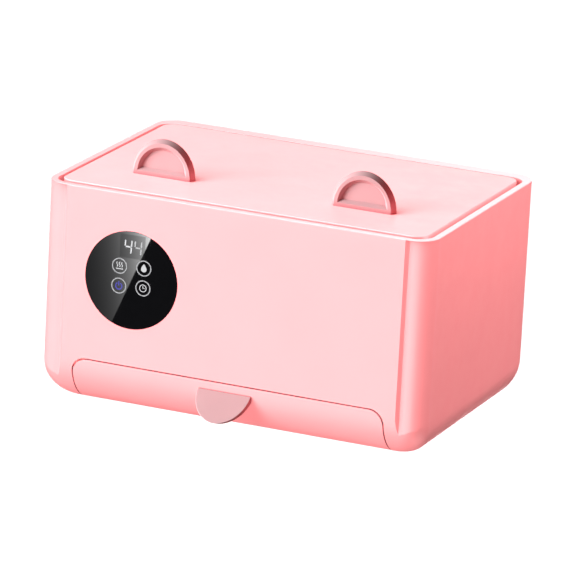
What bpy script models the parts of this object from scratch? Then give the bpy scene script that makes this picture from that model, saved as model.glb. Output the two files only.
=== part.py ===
"""Baby wipe warmer: a heated box that is filled from the top and gives its wipes through a door at the front.

Metres, +Z up, the front at -Y, +X at the right hand of someone who faces the front. The origin lies on the
table, under the middle of everything that the object covers, its door tab included.
"""
import math

import bmesh
import bpy
from mathutils import Matrix, Vector

# Clearances
GAP = 0.0003  # between parts that rest on, or sit in, each other
SEAM = 0.0005  # round the door, where it shows
OVERRUN = 0.003  # how far a cutter runs past what it cuts

# Smoothness of round shapes
CORNER_STEPS = 7
FILLET_STEPS = 6
ROUND_STEPS = 20
SMALL_STEPS = 12
DISC_STEPS = 48
EAR_STEPS = 22
SMOOTH_ANGLE = math.radians(35)

# Case
CASE_WIDTH = 0.240
CASE_DEPTH = 0.170
CASE_HEIGHT = 0.132
PLAN_RADIUS = 0.014
UNDER_RADIUS = 0.004  # least plan radius of a corner
CORNER_SHRINK_SHARE = 0.5  # of the fillet's inset, that a corner's radius loses
MIDDLE_X = -0.0017  # of the ears and the tab: the photo shows them a little left of the case's middle
SIDE_FILLET = 0.021
FRONT_FILLET = 0.028
BACK_FILLET = 0.0255
SIDE_WALL = 0.0025
FRONT_WALL = 0.0045
RIM_WIDTH = 0.004
RIM_BACK_WIDTH = 0.009
RIM_EDGE = 0.0008
LEDGE_REACH = 0.0035
LEDGE_THICKNESS = 0.0022
LEDGE_SLOPE = 0.004
COLUMN_RECESS = 0.002
COLUMN_LIP = 0.0016
COLUMN_WIDTH = 0.0157  # from the case's side to the raised front
OPENING_MARGIN_SIDE = 0.013
OPENING_MARGIN_FRONT = 0.011
OPENING_MARGIN_BACK = 0.012

# Base plate, feet and their screws
BASE_THICKNESS = 0.002
BASE_INSET = 0.003  # from the end of the case's round underside
BASE_RADIUS = 0.006
FOOT_RADIUS = 0.007
FOOT_STAND = 0.0015
FOOT_RECESS = 0.001
FOOT_INSET = 0.020
SCREW_INSET = 0.0055
BASE_SCREW_RADIUS = 0.0012
BASE_SCREW_HEAD = 0.0023
BASE_SCREW_HEAD_HEIGHT = 0.0008
BASE_SCREW_BITE = 0.003

# Tank and what heats it
TANK_WALL = 0.002
TANK_SIDE_ROOM = 0.016  # from the case's side to the inside of the tank's side wall
TANK_FRONT_ROOM = 0.019  # from the case's front to the inside of the tank's front wall
TANK_BACK_ROOM = 0.025
TANK_FLOOR = 0.016  # height of its inner floor over the case's underside
TANK_RADIUS = 0.010
TANK_FOOT_FILLET = 0.0015
SEAT_DEPTH = 0.010  # from the rim's top down to the tank's flange
FILM_THICKNESS = 0.0006
FILM_LOW = 0.040
FILM_TOP_ROOM = 0.0137  # below the tank's flange
FILM_TAIL_WIDTH = 0.012
FILM_TAIL_LENGTH = 0.009
FILM_TAIL_X = -0.024
WRAP_THICKNESS = 0.003
WRAP_LOW = 0.036
WRAP_TOP_ROOM = 0.0087
SPREADER_THICKNESS = 0.0015
SPREADER_INSET = 0.004
PAD_THICKNESS = 0.0035
FUSE_RADIUS = 0.002
FUSE_LENGTH = 0.011
FUSE_X = 0.010
SENSOR_SIZE = (0.005, 0.003, 0.003)
SENSOR_X = -0.006
SENSOR_HEIGHT = 0.0325

# Outlet: door, tab, hinge, chute
DOOR_MARGIN = 0.023  # from the case's side to the middle of the door's seam
DOOR_TOP = 0.0296  # the same, over the case's underside
DOOR_CORNER = 0.009
CORNER_RELIEF = 0.0005  # the recess has tighter corners than the door, which leaves room to swing
DOOR_THICKNESS = 0.0022
DOOR_SWEEP = math.radians(68)  # how far it follows the round front underneath
HINGE_BACK = 0.0021
HINGE_DROP = 0.0065
KNUCKLE_RADIUS = 0.00155
KNUCKLE_LENGTH = 0.009
PIN_RADIUS = 0.0006
PIN_LENGTH = 0.020
PIN_BITE = 0.0075  # length held in the case
MOUTH_INSET = 0.009  # from the door's edge to the opening behind it
MOUTH_SWEEP = math.radians(50)
TAB_HALF_WIDTH = 0.0157
TAB_LENGTH = 0.0207
TAB_THICKNESS = 0.0022
TAB_TILT = math.radians(45)
TAB_ROOT = 0.0255
PEG_RADIUS = 0.0011
PEG_SPACING = 0.016
PEG_DROP = 0.0017
CHUTE_WALL = 0.0018
CHUTE_INSET = 0.026  # from the tank's side wall to the chute
CHUTE_HEIGHT = 0.0072
CHUTE_FRONT = 0.0095  # its mouth, behind the case's front
CHUTE_FLANGE = 0.004
CHUTE_FLANGE_THICKNESS = 0.0015
LIP_THICKNESS = 0.0012
LIP_SET_BACK = 0.0015
LIP_SLOT_INSET = 0.006
LIP_EDGE = 0.0011  # of the lip above and below its slot
MAGNET_SIZE = (0.012, 0.002, 0.005)
STRIKE_SIZE = (0.014, 0.0007, 0.006)
MAGNET_SWEEP = math.radians(57)

# Controls
LENS_INSET = 0.0423  # from the raised front's left edge to the lens's middle
LENS_RADIUS = 0.029
LENS_THICKNESS = 0.0022
LENS_PROUD = 0.0003
LENS_SEAT = 0.004
KEY_SPACING_X = 0.0152
KEY_SPACING_Z = 0.0118
KEY_RISE = 0.0019  # of the keys' middle over the lens's
KEY_PILLAR_RADIUS = 0.003
DISPLAY_SIZE = (0.0166, 0.0148)
DISPLAY_RISE = 0.0200
BOARD_SIZE = (0.056, 0.0016, 0.054)
BOARD_RISE = 0.0037  # of the board's middle over the lens's
BOARD_ROOM = 0.0077  # between the board and the tank's flange
BOARD_STANDOFF = 0.0036
POST_RADIUS = 0.003
POST_INSET = 0.004
BOARD_SCREW_RADIUS = 0.001
BOARD_SCREW_HEAD = 0.002
BOARD_SCREW_HEAD_HEIGHT = 0.0012
BOARD_SCREW_BITE = 0.0033

# Power inlet
JACK_INSET = 0.042  # from the case's side
JACK_HEIGHT = 0.0325
JACK_RADIUS = 0.004
JACK_LENGTH = 0.0125
JACK_FLANGE = 0.0058
JACK_FLANGE_THICKNESS = 0.001
JACK_SOCKET = 0.003
JACK_SOCKET_DEPTH = 0.009
JACK_CONTACT = 0.001
JACK_SINK = 0.0001
NUT_RADIUS = 0.0065
NUT_THICKNESS = 0.002
NUT_SIDES = 6

# Leads inside the case
LEAD_RADIUS = 0.0011
LEAD_STEPS = 9
POWER_LEAD_RADIUS = 0.0015

# Lid
LID_GROOVE = 0.003
LID_RADIUS = 0.008
LID_EDGE = 0.0008
LID_TOP_THICKNESS = 0.0022
LID_SKIRT = 0.002
LID_SKIRT_DEPTH = 0.009
LINER_DROP = 0.0053
LINER_THICKNESS = 0.0018
LINER_PLUG_GAP = 0.0015
LINER_PLUG_WALL = 0.002
LINER_PLUG_DEPTH = 0.007
LINER_PLUG_RADIUS = 0.0085
FOAM_INSET = 0.004
FOAM_RADIUS = 0.004
SEAL_WIDTH = 0.004
SEAL_INSET = 0.0015  # from the edge of the tank's mouth

# Ears
EAR_INSET = 0.0504  # from the lid's side to the ear's middle
EAR_FRONT = 0.0415  # from the case's front to the ear's face
EAR_HALF_WIDTH = 0.0198
EAR_HEIGHT = 0.0223
EAR_THICKNESS = 0.0036
EAR_SLOPE_WIDTH = 0.0022
EAR_SLOPE_DEPTH = 0.0016
EAR_RING = 0.0021
EAR_DISH_SLOPE = 0.0022
EAR_DISH_DEPTH = 0.0016
EAR_SILL = 0.0025
EAR_SCREW_X = 0.0166
EAR_SCREW_RADIUS = 0.0008
EAR_SCREW_HEAD = 0.0018
EAR_SCREW_HEAD_HEIGHT = 0.0012
EAR_SCREW_BITE = 0.006

# Press plate
PRESS_CLEARANCE = 0.0025
PRESS_THICKNESS = 0.0022
PRESS_RIM_HEIGHT = 0.006
PRESS_RIM_WALL = 0.0018
PRESS_RADIUS = 0.0075
PRESS_LIFT = 0.0008  # over the tank's floor when the tank is empty
WEIGHT_SIZE = (0.120, 0.056, 0.005)
WEIGHT_RADIUS = 0.005
KNOB_RADIUS = 0.010
KNOB_NECK = 0.005
KNOB_HEIGHT = 0.014
KNOB_TOP_THICKNESS = 0.004
KNOB_PEG_RADIUS = 0.003

# Colours, as linear RGB
PINK = (1.0, 0.62, 0.65)
PALE_PINK = (1.0, 0.72, 0.74)
ROSE = (0.82, 0.42, 0.46)
BLACK = (0.012, 0.012, 0.014)
WHITE = (0.86, 0.85, 0.83)
GREY = (0.30, 0.30, 0.31)
STEEL = (0.62, 0.62, 0.63)
GREEN = (0.03, 0.16, 0.07)
AMBER = (0.55, 0.24, 0.05)
RED = (0.55, 0.04, 0.04)

# Planes and heights that follow from the sizes above
TAB_REACH = GAP + TAB_LENGTH * math.sin(TAB_TILT)
FRONT = (TAB_REACH - CASE_DEPTH) / 2
BACK = FRONT + CASE_DEPTH
HALF_WIDTH = CASE_WIDTH / 2
PANEL_HALF_WIDTH = HALF_WIDTH - COLUMN_WIDTH
DOOR_HALF_WIDTH = HALF_WIDTH - DOOR_MARGIN
MOUTH_HALF_WIDTH = DOOR_HALF_WIDTH - MOUTH_INSET
UNDERSIDE = FOOT_STAND + BASE_THICKNESS + GAP
TOP = UNDERSIDE + CASE_HEIGHT
UNDER_FRONT = FRONT + FRONT_FILLET
UNDER_BACK = BACK - BACK_FILLET
UNDER_HALF = HALF_WIDTH - SIDE_FILLET
FLANGE_TOP = TOP - SEAT_DEPTH
FLANGE_BOTTOM = FLANGE_TOP - TANK_WALL
LEDGE_TOP = FLANGE_BOTTOM - GAP
INNER_FRONT = FRONT + FRONT_WALL
INNER_BACK = BACK - SIDE_WALL
INNER_HALF = HALF_WIDTH - SIDE_WALL
RIM_FRONT = FRONT + RIM_WIDTH
RIM_BACK = BACK - RIM_BACK_WIDTH
RIM_HALF = HALF_WIDTH - RIM_WIDTH
TANK_FRONT = FRONT + TANK_FRONT_ROOM
TANK_BACK = BACK - TANK_BACK_ROOM
TANK_HALF = HALF_WIDTH - TANK_SIDE_ROOM
CHUTE_HALF_WIDTH = TANK_HALF - CHUTE_INSET
TANK_MIDDLE = (TANK_FRONT + TANK_BACK) / 2
TANK_INSIDE = UNDERSIDE + TANK_FLOOR
TANK_OUTSIDE = TANK_INSIDE - TANK_WALL
LENS_FACE = FRONT - LENS_PROUD
LENS_BACK = LENS_FACE + LENS_THICKNESS
LENS_X = LENS_INSET - PANEL_HALF_WIDTH
LENS_WINDOW = LENS_RADIUS - LENS_SEAT
BOARD_FRONT = INNER_FRONT + BOARD_STANDOFF + GAP
BOARD_BACK = BOARD_FRONT + BOARD_SIZE[1]
BOARD_Z = LEDGE_TOP - BOARD_ROOM - BOARD_SIZE[2] / 2
BOARD_LOW = BOARD_Z - BOARD_SIZE[2] / 2
LENS_Z = BOARD_Z - BOARD_RISE
JACK_X = JACK_INSET - HALF_WIDTH
HINGE_Y = FRONT + HINGE_BACK
HINGE_Z = UNDERSIDE + DOOR_TOP - SEAM / 2 - HINGE_DROP
RECESS_DEPTH = DOOR_THICKNESS + GAP
CHUTE_LOW = TANK_INSIDE - CHUTE_WALL
CHUTE_HIGH = TANK_INSIDE + CHUTE_HEIGHT
TANK_FACE = TANK_FRONT - TANK_WALL
FILM_FACE = TANK_FACE - GAP - FILM_THICKNESS
WRAP_FACE = FILM_FACE - GAP - WRAP_THICKNESS
LID_HALF = RIM_HALF - LID_GROOVE
LID_FRONT = RIM_FRONT + LID_GROOVE
LID_BACK = RIM_BACK - LID_GROOVE
LID_SLAB = TOP - LID_TOP_THICKNESS
LINER_TOP = TOP - LINER_DROP
LINER_BOTTOM = LINER_TOP - LINER_THICKNESS
EAR_Y = FRONT + EAR_FRONT
EAR_BASE = TOP + GAP
PRESS_LOW = TANK_INSIDE + PRESS_LIFT
PRESS_FLOOR = PRESS_LOW + PRESS_THICKNESS

for old in list(bpy.data.objects):
    bpy.data.objects.remove(old, do_unlink=True)


def finish(name, colour, roughness=0.5, metallic=0.0):
    """Makes a material from one colour."""
    made = bpy.data.materials.new(name)
    made.use_nodes = True
    shader = made.node_tree.nodes["Principled BSDF"]
    shader.inputs["Base Color"].default_value = (*colour, 1)
    shader.inputs["Roughness"].default_value = roughness
    shader.inputs["Metallic"].default_value = metallic
    return made


def place(name, shape, material, pivot=(0, 0, 0)):
    """Turns a bmesh into an object whose origin is at its pivot."""
    bmesh.ops.remove_doubles(shape, verts=shape.verts, dist=GAP / 100)
    bmesh.ops.recalc_face_normals(shape, faces=shape.faces)
    bmesh.ops.translate(shape, vec=-Vector(pivot), verts=shape.verts)
    mesh = bpy.data.meshes.new(name)
    shape.to_mesh(mesh)
    shape.free()
    mesh.shade_smooth()
    mesh.set_sharp_from_angle(angle=SMOOTH_ANGLE)
    if material:
        mesh.materials.append(material)
    made = bpy.data.objects.new(name, mesh)
    made.location = pivot
    bpy.context.collection.objects.link(made)
    return made


def carve(target, name, shape, operation="DIFFERENCE"):
    """Cuts a shape out of an object, or joins it to it, by a Boolean modifier."""
    tool = place(f"{target.name}_{name}", shape, None)
    tool.hide_render = True
    tool.display_type = "WIRE"
    modifier = target.modifiers.new(name, "BOOLEAN")
    modifier.object = tool
    modifier.operation = operation
    modifier.solver = "EXACT"


def polygon_prism(points, travel):
    """A flat outline, swept along a vector."""
    shape = bmesh.new()
    face = shape.faces.new([shape.verts.new(point) for point in points])
    swept = bmesh.ops.extrude_face_region(shape, geom=[face])["geom"]
    moved = [item for item in swept if isinstance(item, bmesh.types.BMVert)]
    bmesh.ops.translate(shape, vec=Vector(travel), verts=moved)
    return shape


def box(low, high):
    """A block between two corners."""
    low, high = Vector(low), Vector(high)
    shape = bmesh.new()
    size = Matrix.Diagonal((*(high - low), 1))
    bmesh.ops.create_cube(shape, size=1, matrix=Matrix.Translation((low + high) / 2) @ size)
    return shape


def rod(radius, start, end, steps=SMALL_STEPS, end_radius=None):
    """A round bar, or a cone, between two points."""
    start, end = Vector(start), Vector(end)
    along = end - start
    turn = Vector((0, 0, 1)).rotation_difference(along.normalized()).to_matrix().to_4x4()
    shape = bmesh.new()
    bmesh.ops.create_cone(shape, cap_ends=True, segments=steps, radius1=radius,
                          radius2=radius if end_radius is None else end_radius, depth=along.length,
                          matrix=Matrix.Translation((start + end) / 2) @ turn)
    return shape


def turned(profile, centre, axis, steps=ROUND_STEPS):
    """Spins an outline of (radius, height) points, whose two ends lie on the axis, about it."""
    shape = bmesh.new()
    corners = [shape.verts.new((radius, 0, height)) for radius, height in profile]
    edges = [shape.edges.new(pair) for pair in zip(corners, corners[1:])]
    bmesh.ops.spin(shape, geom=corners + edges, cent=(0, 0, 0), axis=(0, 0, 1), angle=math.tau, steps=steps,
                   use_merge=True)
    turn = Vector((0, 0, 1)).rotation_difference(Vector(axis)).to_matrix().to_4x4()
    bmesh.ops.transform(shape, matrix=Matrix.Translation(centre) @ turn, verts=shape.verts)
    return shape


def rounded_loop(half_width, front, back, radius, height):
    """The corners of a level rectangle with round corners, in order."""
    radius = min(radius, half_width, (back - front) / 2)
    right, rear, fore = half_width - radius, back - radius, front + radius
    loop = []
    for index, (x, y) in enumerate(((right, fore), (right, rear), (-right, rear), (-right, fore))):
        for step in range(CORNER_STEPS + 1):
            angle = (index - 1 + step / CORNER_STEPS) * math.pi / 2
            loop.append(Vector((x + radius * math.cos(angle), y + radius * math.sin(angle), height)))
    return loop


def loft(loops, closed=False):
    """Extrudes a ring of edges from loop to loop, all of as many points, and fills the ends unless it closes."""
    shape = bmesh.new()
    corners = [shape.verts.new(point) for point in loops[0]]
    ring = [shape.edges.new(pair) for pair in zip(corners, corners[1:] + corners[:1])]
    first = ring
    for loop in loops[1:] + (loops[:1] if closed else []):
        grown = bmesh.ops.extrude_edge_only(shape, edges=ring)["geom"]
        fresh = {item for item in grown if isinstance(item, bmesh.types.BMVert)}
        ring = [item for item in grown if isinstance(item, bmesh.types.BMEdge) and fresh.issuperset(item.verts)]
        corners = [next(other for edge in corner.link_edges if (other := edge.other_vert(corner)) in fresh)
                   for corner in corners]
        for corner, point in zip(corners, loop):
            corner.co = point
    if not closed:
        for end in (first, ring):
            bmesh.ops.contextual_create(shape, geom=end)
    return shape


def ring_band(half_width, front, back, radius, thickness, low, high):
    """An upright band that goes round a rectangle: its inside, its thickness and its two heights."""
    inner = (half_width, front, back, radius)
    outer = (half_width + thickness, front - thickness, back + thickness, radius + thickness)
    return loft([rounded_loop(*inner, low), rounded_loop(*outer, low), rounded_loop(*outer, high),
                 rounded_loop(*inner, high)], closed=True)


def rounded_slab(half_width, front, back, radius, low, high):
    """A flat plate with round corners."""
    return loft([rounded_loop(half_width, front, back, radius, height) for height in (low, high)])


def inset_at(height, fillet_across, fillet_up):
    """How far a wall that rounds into the floor stands in from its upright part, at a height."""
    if height >= fillet_up:
        return 0
    share = (fillet_up - height) / fillet_up
    return fillet_across * (1 - math.sqrt(1 - share * share))


def fillet_levels(*fillets):
    """The heights of the steps of several fillets, low to high."""
    quarter = math.pi / 2
    levels = {round(fillet * (1 - math.cos(quarter * step / FILLET_STEPS)), 6)
              for fillet in fillets for step in range(FILLET_STEPS + 1)}
    return sorted(levels)


def front_arc(offset, sweep, start=0.0):
    """Points (y, z) along the round front underneath, at a depth under its face."""
    radius = FRONT_FILLET - offset
    steps = max(2, round((sweep - start) / (math.pi / 2) * 2 * FILLET_STEPS))
    angles = [start + (sweep - start) * step / steps for step in range(steps + 1)]
    return [(UNDER_FRONT - radius * math.cos(angle), UNDERSIDE + FRONT_FILLET - radius * math.sin(angle))
            for angle in angles]


def front_sheet(outer_offset, inner_offset, top, sweep, half_width):
    """A sheet that follows the case's front from a height down round the underside, as wide as asked."""
    outer = [(FRONT + outer_offset, top)] + front_arc(outer_offset, sweep)
    inner = [(FRONT + inner_offset, top)] + front_arc(inner_offset, sweep)
    outline = [Vector((-half_width, y, z)) for y, z in outer + inner[::-1]]
    return polygon_prism(outline, (2 * half_width, 0, 0))


def door_outline(half_width, top, radius):
    """A block from in front of the case to behind its wall, with the door's outline seen from the front."""
    low = UNDERSIDE - FRONT_FILLET
    start = FRONT - FRONT_FILLET
    points = [Vector((-half_width, start, low)), Vector((half_width, start, low))]
    for side in (1, -1):
        for step in range(CORNER_STEPS + 1):
            turn = math.pi / 2 * step / CORNER_STEPS
            angle = turn if side > 0 else math.pi / 2 + turn
            points.append(Vector((side * (half_width - radius) + radius * math.cos(angle), start,
                                  top - radius + radius * math.sin(angle))))
    return polygon_prism(points, (0, 2 * FRONT_FILLET, 0))


def front_point(offset, sweep):
    """The point (y, z) at a depth under the round front's face, at an angle below level."""
    return front_arc(offset, sweep)[-1]


def tilted_block(size, offset, sweep, depth_sign):
    """A block that lies along the round front at an angle, its outer face at a depth under the front."""
    width, thickness, length = size
    y, z = front_point(offset, sweep)
    shape = box((-width / 2, 0, -length / 2), (width / 2, depth_sign * thickness, length / 2))
    turn = Matrix.Rotation(sweep, 4, "X")
    bmesh.ops.transform(shape, matrix=Matrix.Translation((0, y, z)) @ turn, verts=shape.verts)
    return shape


def screw(name, material, seat, direction, radius, head_radius, head_height, reach):
    """A screw with a round head and a shallow drive hole. The seat is under its head."""
    seat, direction = Vector(seat), Vector(direction)
    drive = head_radius / 2
    profile = [(0, reach), (radius, reach), (radius, 0), (head_radius, 0), (head_radius, -head_height),
               (drive, -head_height), (drive, -head_height / 2), (0, -head_height / 2)]
    return place(name, turned(profile, seat, direction, SMALL_STEPS), material)


def lead(name, material, radius, route):
    """A lead that is held inside the case, along a smooth curve through the points of its route."""
    points = [Vector(point) for point in route]
    points = [2 * points[0] - points[1]] + points + [2 * points[-1] - points[-2]]
    track = []
    for index in range(1, len(points) - 2):
        before, start, end, after = points[index - 1:index + 3]
        for step in range(LEAD_STEPS):
            share = step / LEAD_STEPS
            track.append(((2 * start) + (end - before) * share
                          + (2 * before - 5 * start + 4 * end - after) * share ** 2
                          + (3 * start - before - 3 * end + after) * share ** 3) / 2)
    track.append(points[-2])
    curve = bpy.data.curves.new(name, "CURVE")
    curve.dimensions = "3D"
    curve.bevel_depth = radius
    curve.bevel_resolution = 2
    curve.use_fill_caps = True
    spline = curve.splines.new("POLY")
    spline.points.add(len(track) - 1)
    for held, point in zip(spline.points, track):
        held.co = (*point, 1)
    curve.materials.append(material)
    made = bpy.data.objects.new(name, curve)
    bpy.context.collection.objects.link(made)


def case_loops():
    """The case's surface as level loops: out along the underside, up, over the rim and down inside."""
    loops = []
    opening = (UNDER_HALF - OPENING_MARGIN_SIDE, UNDER_FRONT + OPENING_MARGIN_FRONT,
               UNDER_BACK - OPENING_MARGIN_BACK, UNDER_RADIUS)
    loops.append(rounded_loop(*opening, UNDERSIDE))
    for height in fillet_levels(SIDE_FILLET, FRONT_FILLET):
        side = inset_at(height, SIDE_FILLET, SIDE_FILLET)
        fore = inset_at(height, FRONT_FILLET, FRONT_FILLET)
        rear = inset_at(height, BACK_FILLET, BACK_FILLET)
        radius = max(PLAN_RADIUS - side * CORNER_SHRINK_SHARE, UNDER_RADIUS)
        loops.append(rounded_loop(HALF_WIDTH - side, FRONT + fore, BACK - rear, radius, UNDERSIDE + height))
    loops.append(rounded_loop(HALF_WIDTH, FRONT, BACK, PLAN_RADIUS, TOP - RIM_EDGE))
    loops.append(rounded_loop(HALF_WIDTH - RIM_EDGE, FRONT + RIM_EDGE, BACK - RIM_EDGE,
                              PLAN_RADIUS - RIM_EDGE, TOP))
    lead_in = RIM_EDGE / 2
    rim_radius = PLAN_RADIUS - RIM_WIDTH
    loops.append(rounded_loop(RIM_HALF + lead_in, RIM_FRONT - lead_in, RIM_BACK + lead_in,
                              rim_radius + lead_in, TOP))
    loops.append(rounded_loop(RIM_HALF, RIM_FRONT, RIM_BACK, rim_radius, TOP - lead_in))
    loops.append(rounded_loop(RIM_HALF, RIM_FRONT, RIM_BACK, rim_radius, LEDGE_TOP))
    ledge = (RIM_HALF - LEDGE_REACH, RIM_FRONT + LEDGE_REACH, RIM_BACK - LEDGE_REACH,
             max(rim_radius - LEDGE_REACH, UNDER_RADIUS))
    loops.append(rounded_loop(*ledge, LEDGE_TOP))
    loops.append(rounded_loop(*ledge, LEDGE_TOP - LEDGE_THICKNESS))
    inner_radius = PLAN_RADIUS - SIDE_WALL
    loops.append(rounded_loop(INNER_HALF, INNER_FRONT, INNER_BACK, inner_radius,
                              LEDGE_TOP - LEDGE_THICKNESS - LEDGE_SLOPE))
    across, up_side, round_front = SIDE_FILLET - SIDE_WALL, SIDE_FILLET - FRONT_WALL, FRONT_FILLET - FRONT_WALL
    for height in reversed(fillet_levels(up_side, round_front)):
        side = inset_at(height, across, up_side)
        fore = inset_at(height, round_front, round_front)
        rear = inset_at(height, BACK_FILLET - SIDE_WALL, BACK_FILLET - FRONT_WALL)
        radius = max(inner_radius - side * CORNER_SHRINK_SHARE, UNDER_RADIUS)
        loops.append(rounded_loop(INNER_HALF - side, INNER_FRONT + fore, INNER_BACK - rear, radius,
                                  UNDERSIDE + FRONT_WALL + height))
    loops.append(rounded_loop(*opening, UNDERSIDE + FRONT_WALL))
    return loops


def column_cutter(side):
    """What is cut away in front of a corner column: the raised front's sloping edge, then the column's own round."""
    slope = PANEL_HALF_WIDTH + COLUMN_RECESS
    face = FRONT + COLUMN_RECESS
    radius = PLAN_RADIUS - COLUMN_RECESS
    outline = [(PANEL_HALF_WIDTH - OVERRUN, FRONT - OVERRUN), (slope, face)]
    for step in range(CORNER_STEPS):
        angle = math.pi / 2 * step / CORNER_STEPS
        outline.append((HALF_WIDTH - radius + radius * math.sin(angle), face + radius * (1 - math.cos(angle))))
    far = HALF_WIDTH + OVERRUN
    outline += [(far, outline[-1][1]), (far, FRONT - OVERRUN)]
    low = UNDERSIDE - OVERRUN
    points = [Vector((side * x, y, low)) for x, y in outline]
    return polygon_prism(points, (0, 0, TOP - COLUMN_LIP - low))


def base_screw_places():
    """Where the base plate's screws go, as (name, x, y)."""
    x = UNDER_HALF - OPENING_MARGIN_SIDE / 2
    fore = UNDER_FRONT + OPENING_MARGIN_FRONT / 2
    rear = UNDER_BACK - OPENING_MARGIN_BACK / 2
    return [("front_left", -x, fore), ("front_right", x, fore), ("back_left", -x, rear), ("back_right", x, rear)]


def foot_places():
    """Where the feet go, as (name, x, y)."""
    x = UNDER_HALF - FOOT_INSET
    fore = UNDER_FRONT + FOOT_INSET
    rear = UNDER_BACK - FOOT_INSET
    return [("front_left", -x, fore), ("front_right", x, fore), ("back_left", -x, rear), ("back_right", x, rear)]


def board_screw_places():
    """Where the control board's screws go, as (name, x, z)."""
    across = BOARD_SIZE[0] / 2 - POST_INSET
    up = BOARD_SIZE[2] / 2 - POST_INSET
    return [(f"{high}_{side}", LENS_X + x, BOARD_Z + z)
            for high, z in (("lower", -up), ("upper", up)) for side, x in (("left", -across), ("right", across))]


def key_places():
    """Where the touch keys are, as (name, x, z)."""
    middle = LENS_Z + KEY_RISE
    return [(f"{high}_{side}", LENS_X + x, middle + z)
            for high, z in (("lower", -KEY_SPACING_Z / 2), ("upper", KEY_SPACING_Z / 2))
            for side, x in (("left", -KEY_SPACING_X / 2), ("right", KEY_SPACING_X / 2))]


def make_case(material):
    """The outer shell, with the door's recess and mouth, the lens's seat, the board's posts and the holes."""
    case = place("outer_case", loft(case_loops(), closed=True), material)
    for name, x, z in board_screw_places():
        post = rod(POST_RADIUS, (x, INNER_FRONT - FRONT_WALL / 3, z), (x, INNER_FRONT + BOARD_STANDOFF, z))
        carve(case, f"post_{name}", post, "UNION")
    for name, side in (("left", -1), ("right", 1)):
        carve(case, f"column_{name}", column_cutter(side))
    recess = place("door_recess", front_sheet(-OVERRUN, RECESS_DEPTH, UNDERSIDE + DOOR_TOP + DOOR_CORNER,
                                              DOOR_SWEEP + SEAM / FRONT_FILLET, HALF_WIDTH), None)
    carve(recess, "outline", door_outline(DOOR_HALF_WIDTH + SEAM / 2, UNDERSIDE + DOOR_TOP + SEAM / 2,
                                          DOOR_CORNER + SEAM / 2 - CORNER_RELIEF), "INTERSECT")
    recess.hide_render = True
    recess.display_type = "WIRE"
    cut = case.modifiers.new("door_recess", "BOOLEAN")
    cut.object = recess
    cut.solver = "EXACT"
    recess_top = UNDERSIDE + DOOR_TOP + SEAM / 2
    carve(case, "mouth", front_sheet(RECESS_DEPTH - OVERRUN, FRONT_WALL + OVERRUN, recess_top, MOUTH_SWEEP,
                                     MOUTH_HALF_WIDTH))
    swing = KNUCKLE_RADIUS + SEAM
    carve(case, "hinge_room", box((-DOOR_HALF_WIDTH, FRONT + RECESS_DEPTH - OVERRUN / 4, HINGE_Z - swing),
                                  (DOOR_HALF_WIDTH, INNER_FRONT + OVERRUN, recess_top)))
    hole_start = DOOR_HALF_WIDTH - DOOR_CORNER
    hole_end = DOOR_HALF_WIDTH + SEAM / 2 + PIN_BITE
    for name, side in (("left", -1), ("right", 1)):
        carve(case, f"pin_hole_{name}", rod(PIN_RADIUS + GAP, (side * hole_start, HINGE_Y, HINGE_Z),
                                            (side * hole_end, HINGE_Y, HINGE_Z)))
    lens_floor = LENS_BACK + GAP
    carve(case, "lens_seat", rod(LENS_RADIUS + GAP, (LENS_X, FRONT - OVERRUN, LENS_Z),
                                 (LENS_X, lens_floor, LENS_Z), DISC_STEPS))
    carve(case, "window", rod(LENS_WINDOW, (LENS_X, FRONT - OVERRUN, LENS_Z),
                              (LENS_X, INNER_FRONT + OVERRUN, LENS_Z), DISC_STEPS))
    wide, tall = (size / 2 + GAP for size in DISPLAY_SIZE)
    middle = LENS_Z + DISPLAY_RISE
    carve(case, "display_window", box((LENS_X - wide, FRONT - OVERRUN, middle - tall),
                                      (LENS_X + wide, INNER_FRONT + OVERRUN, middle + tall)))
    pilot = BOARD_SCREW_RADIUS + GAP
    for name, x, z in board_screw_places():
        start = INNER_FRONT + BOARD_STANDOFF - BOARD_SCREW_BITE - GAP
        carve(case, f"pilot_{name}", rod(pilot, (x, start, z), (x, BOARD_FRONT + OVERRUN, z)))
    for name, x, y in base_screw_places():
        top = UNDERSIDE + BASE_SCREW_BITE + GAP
        carve(case, f"base_pilot_{name}", rod(BASE_SCREW_RADIUS + GAP, (x, y, UNDERSIDE - OVERRUN), (x, y, top)))
    jack_z = UNDERSIDE + JACK_HEIGHT
    jack_floor = BACK - JACK_SINK - JACK_FLANGE_THICKNESS - GAP
    carve(case, "jack_seat", rod(JACK_FLANGE + GAP, (JACK_X, jack_floor, jack_z),
                                 (JACK_X, BACK + OVERRUN, jack_z), ROUND_STEPS))
    carve(case, "jack_hole", rod(JACK_RADIUS + GAP, (JACK_X, INNER_BACK - OVERRUN, jack_z),
                                 (JACK_X, BACK + OVERRUN, jack_z), ROUND_STEPS))


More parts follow.
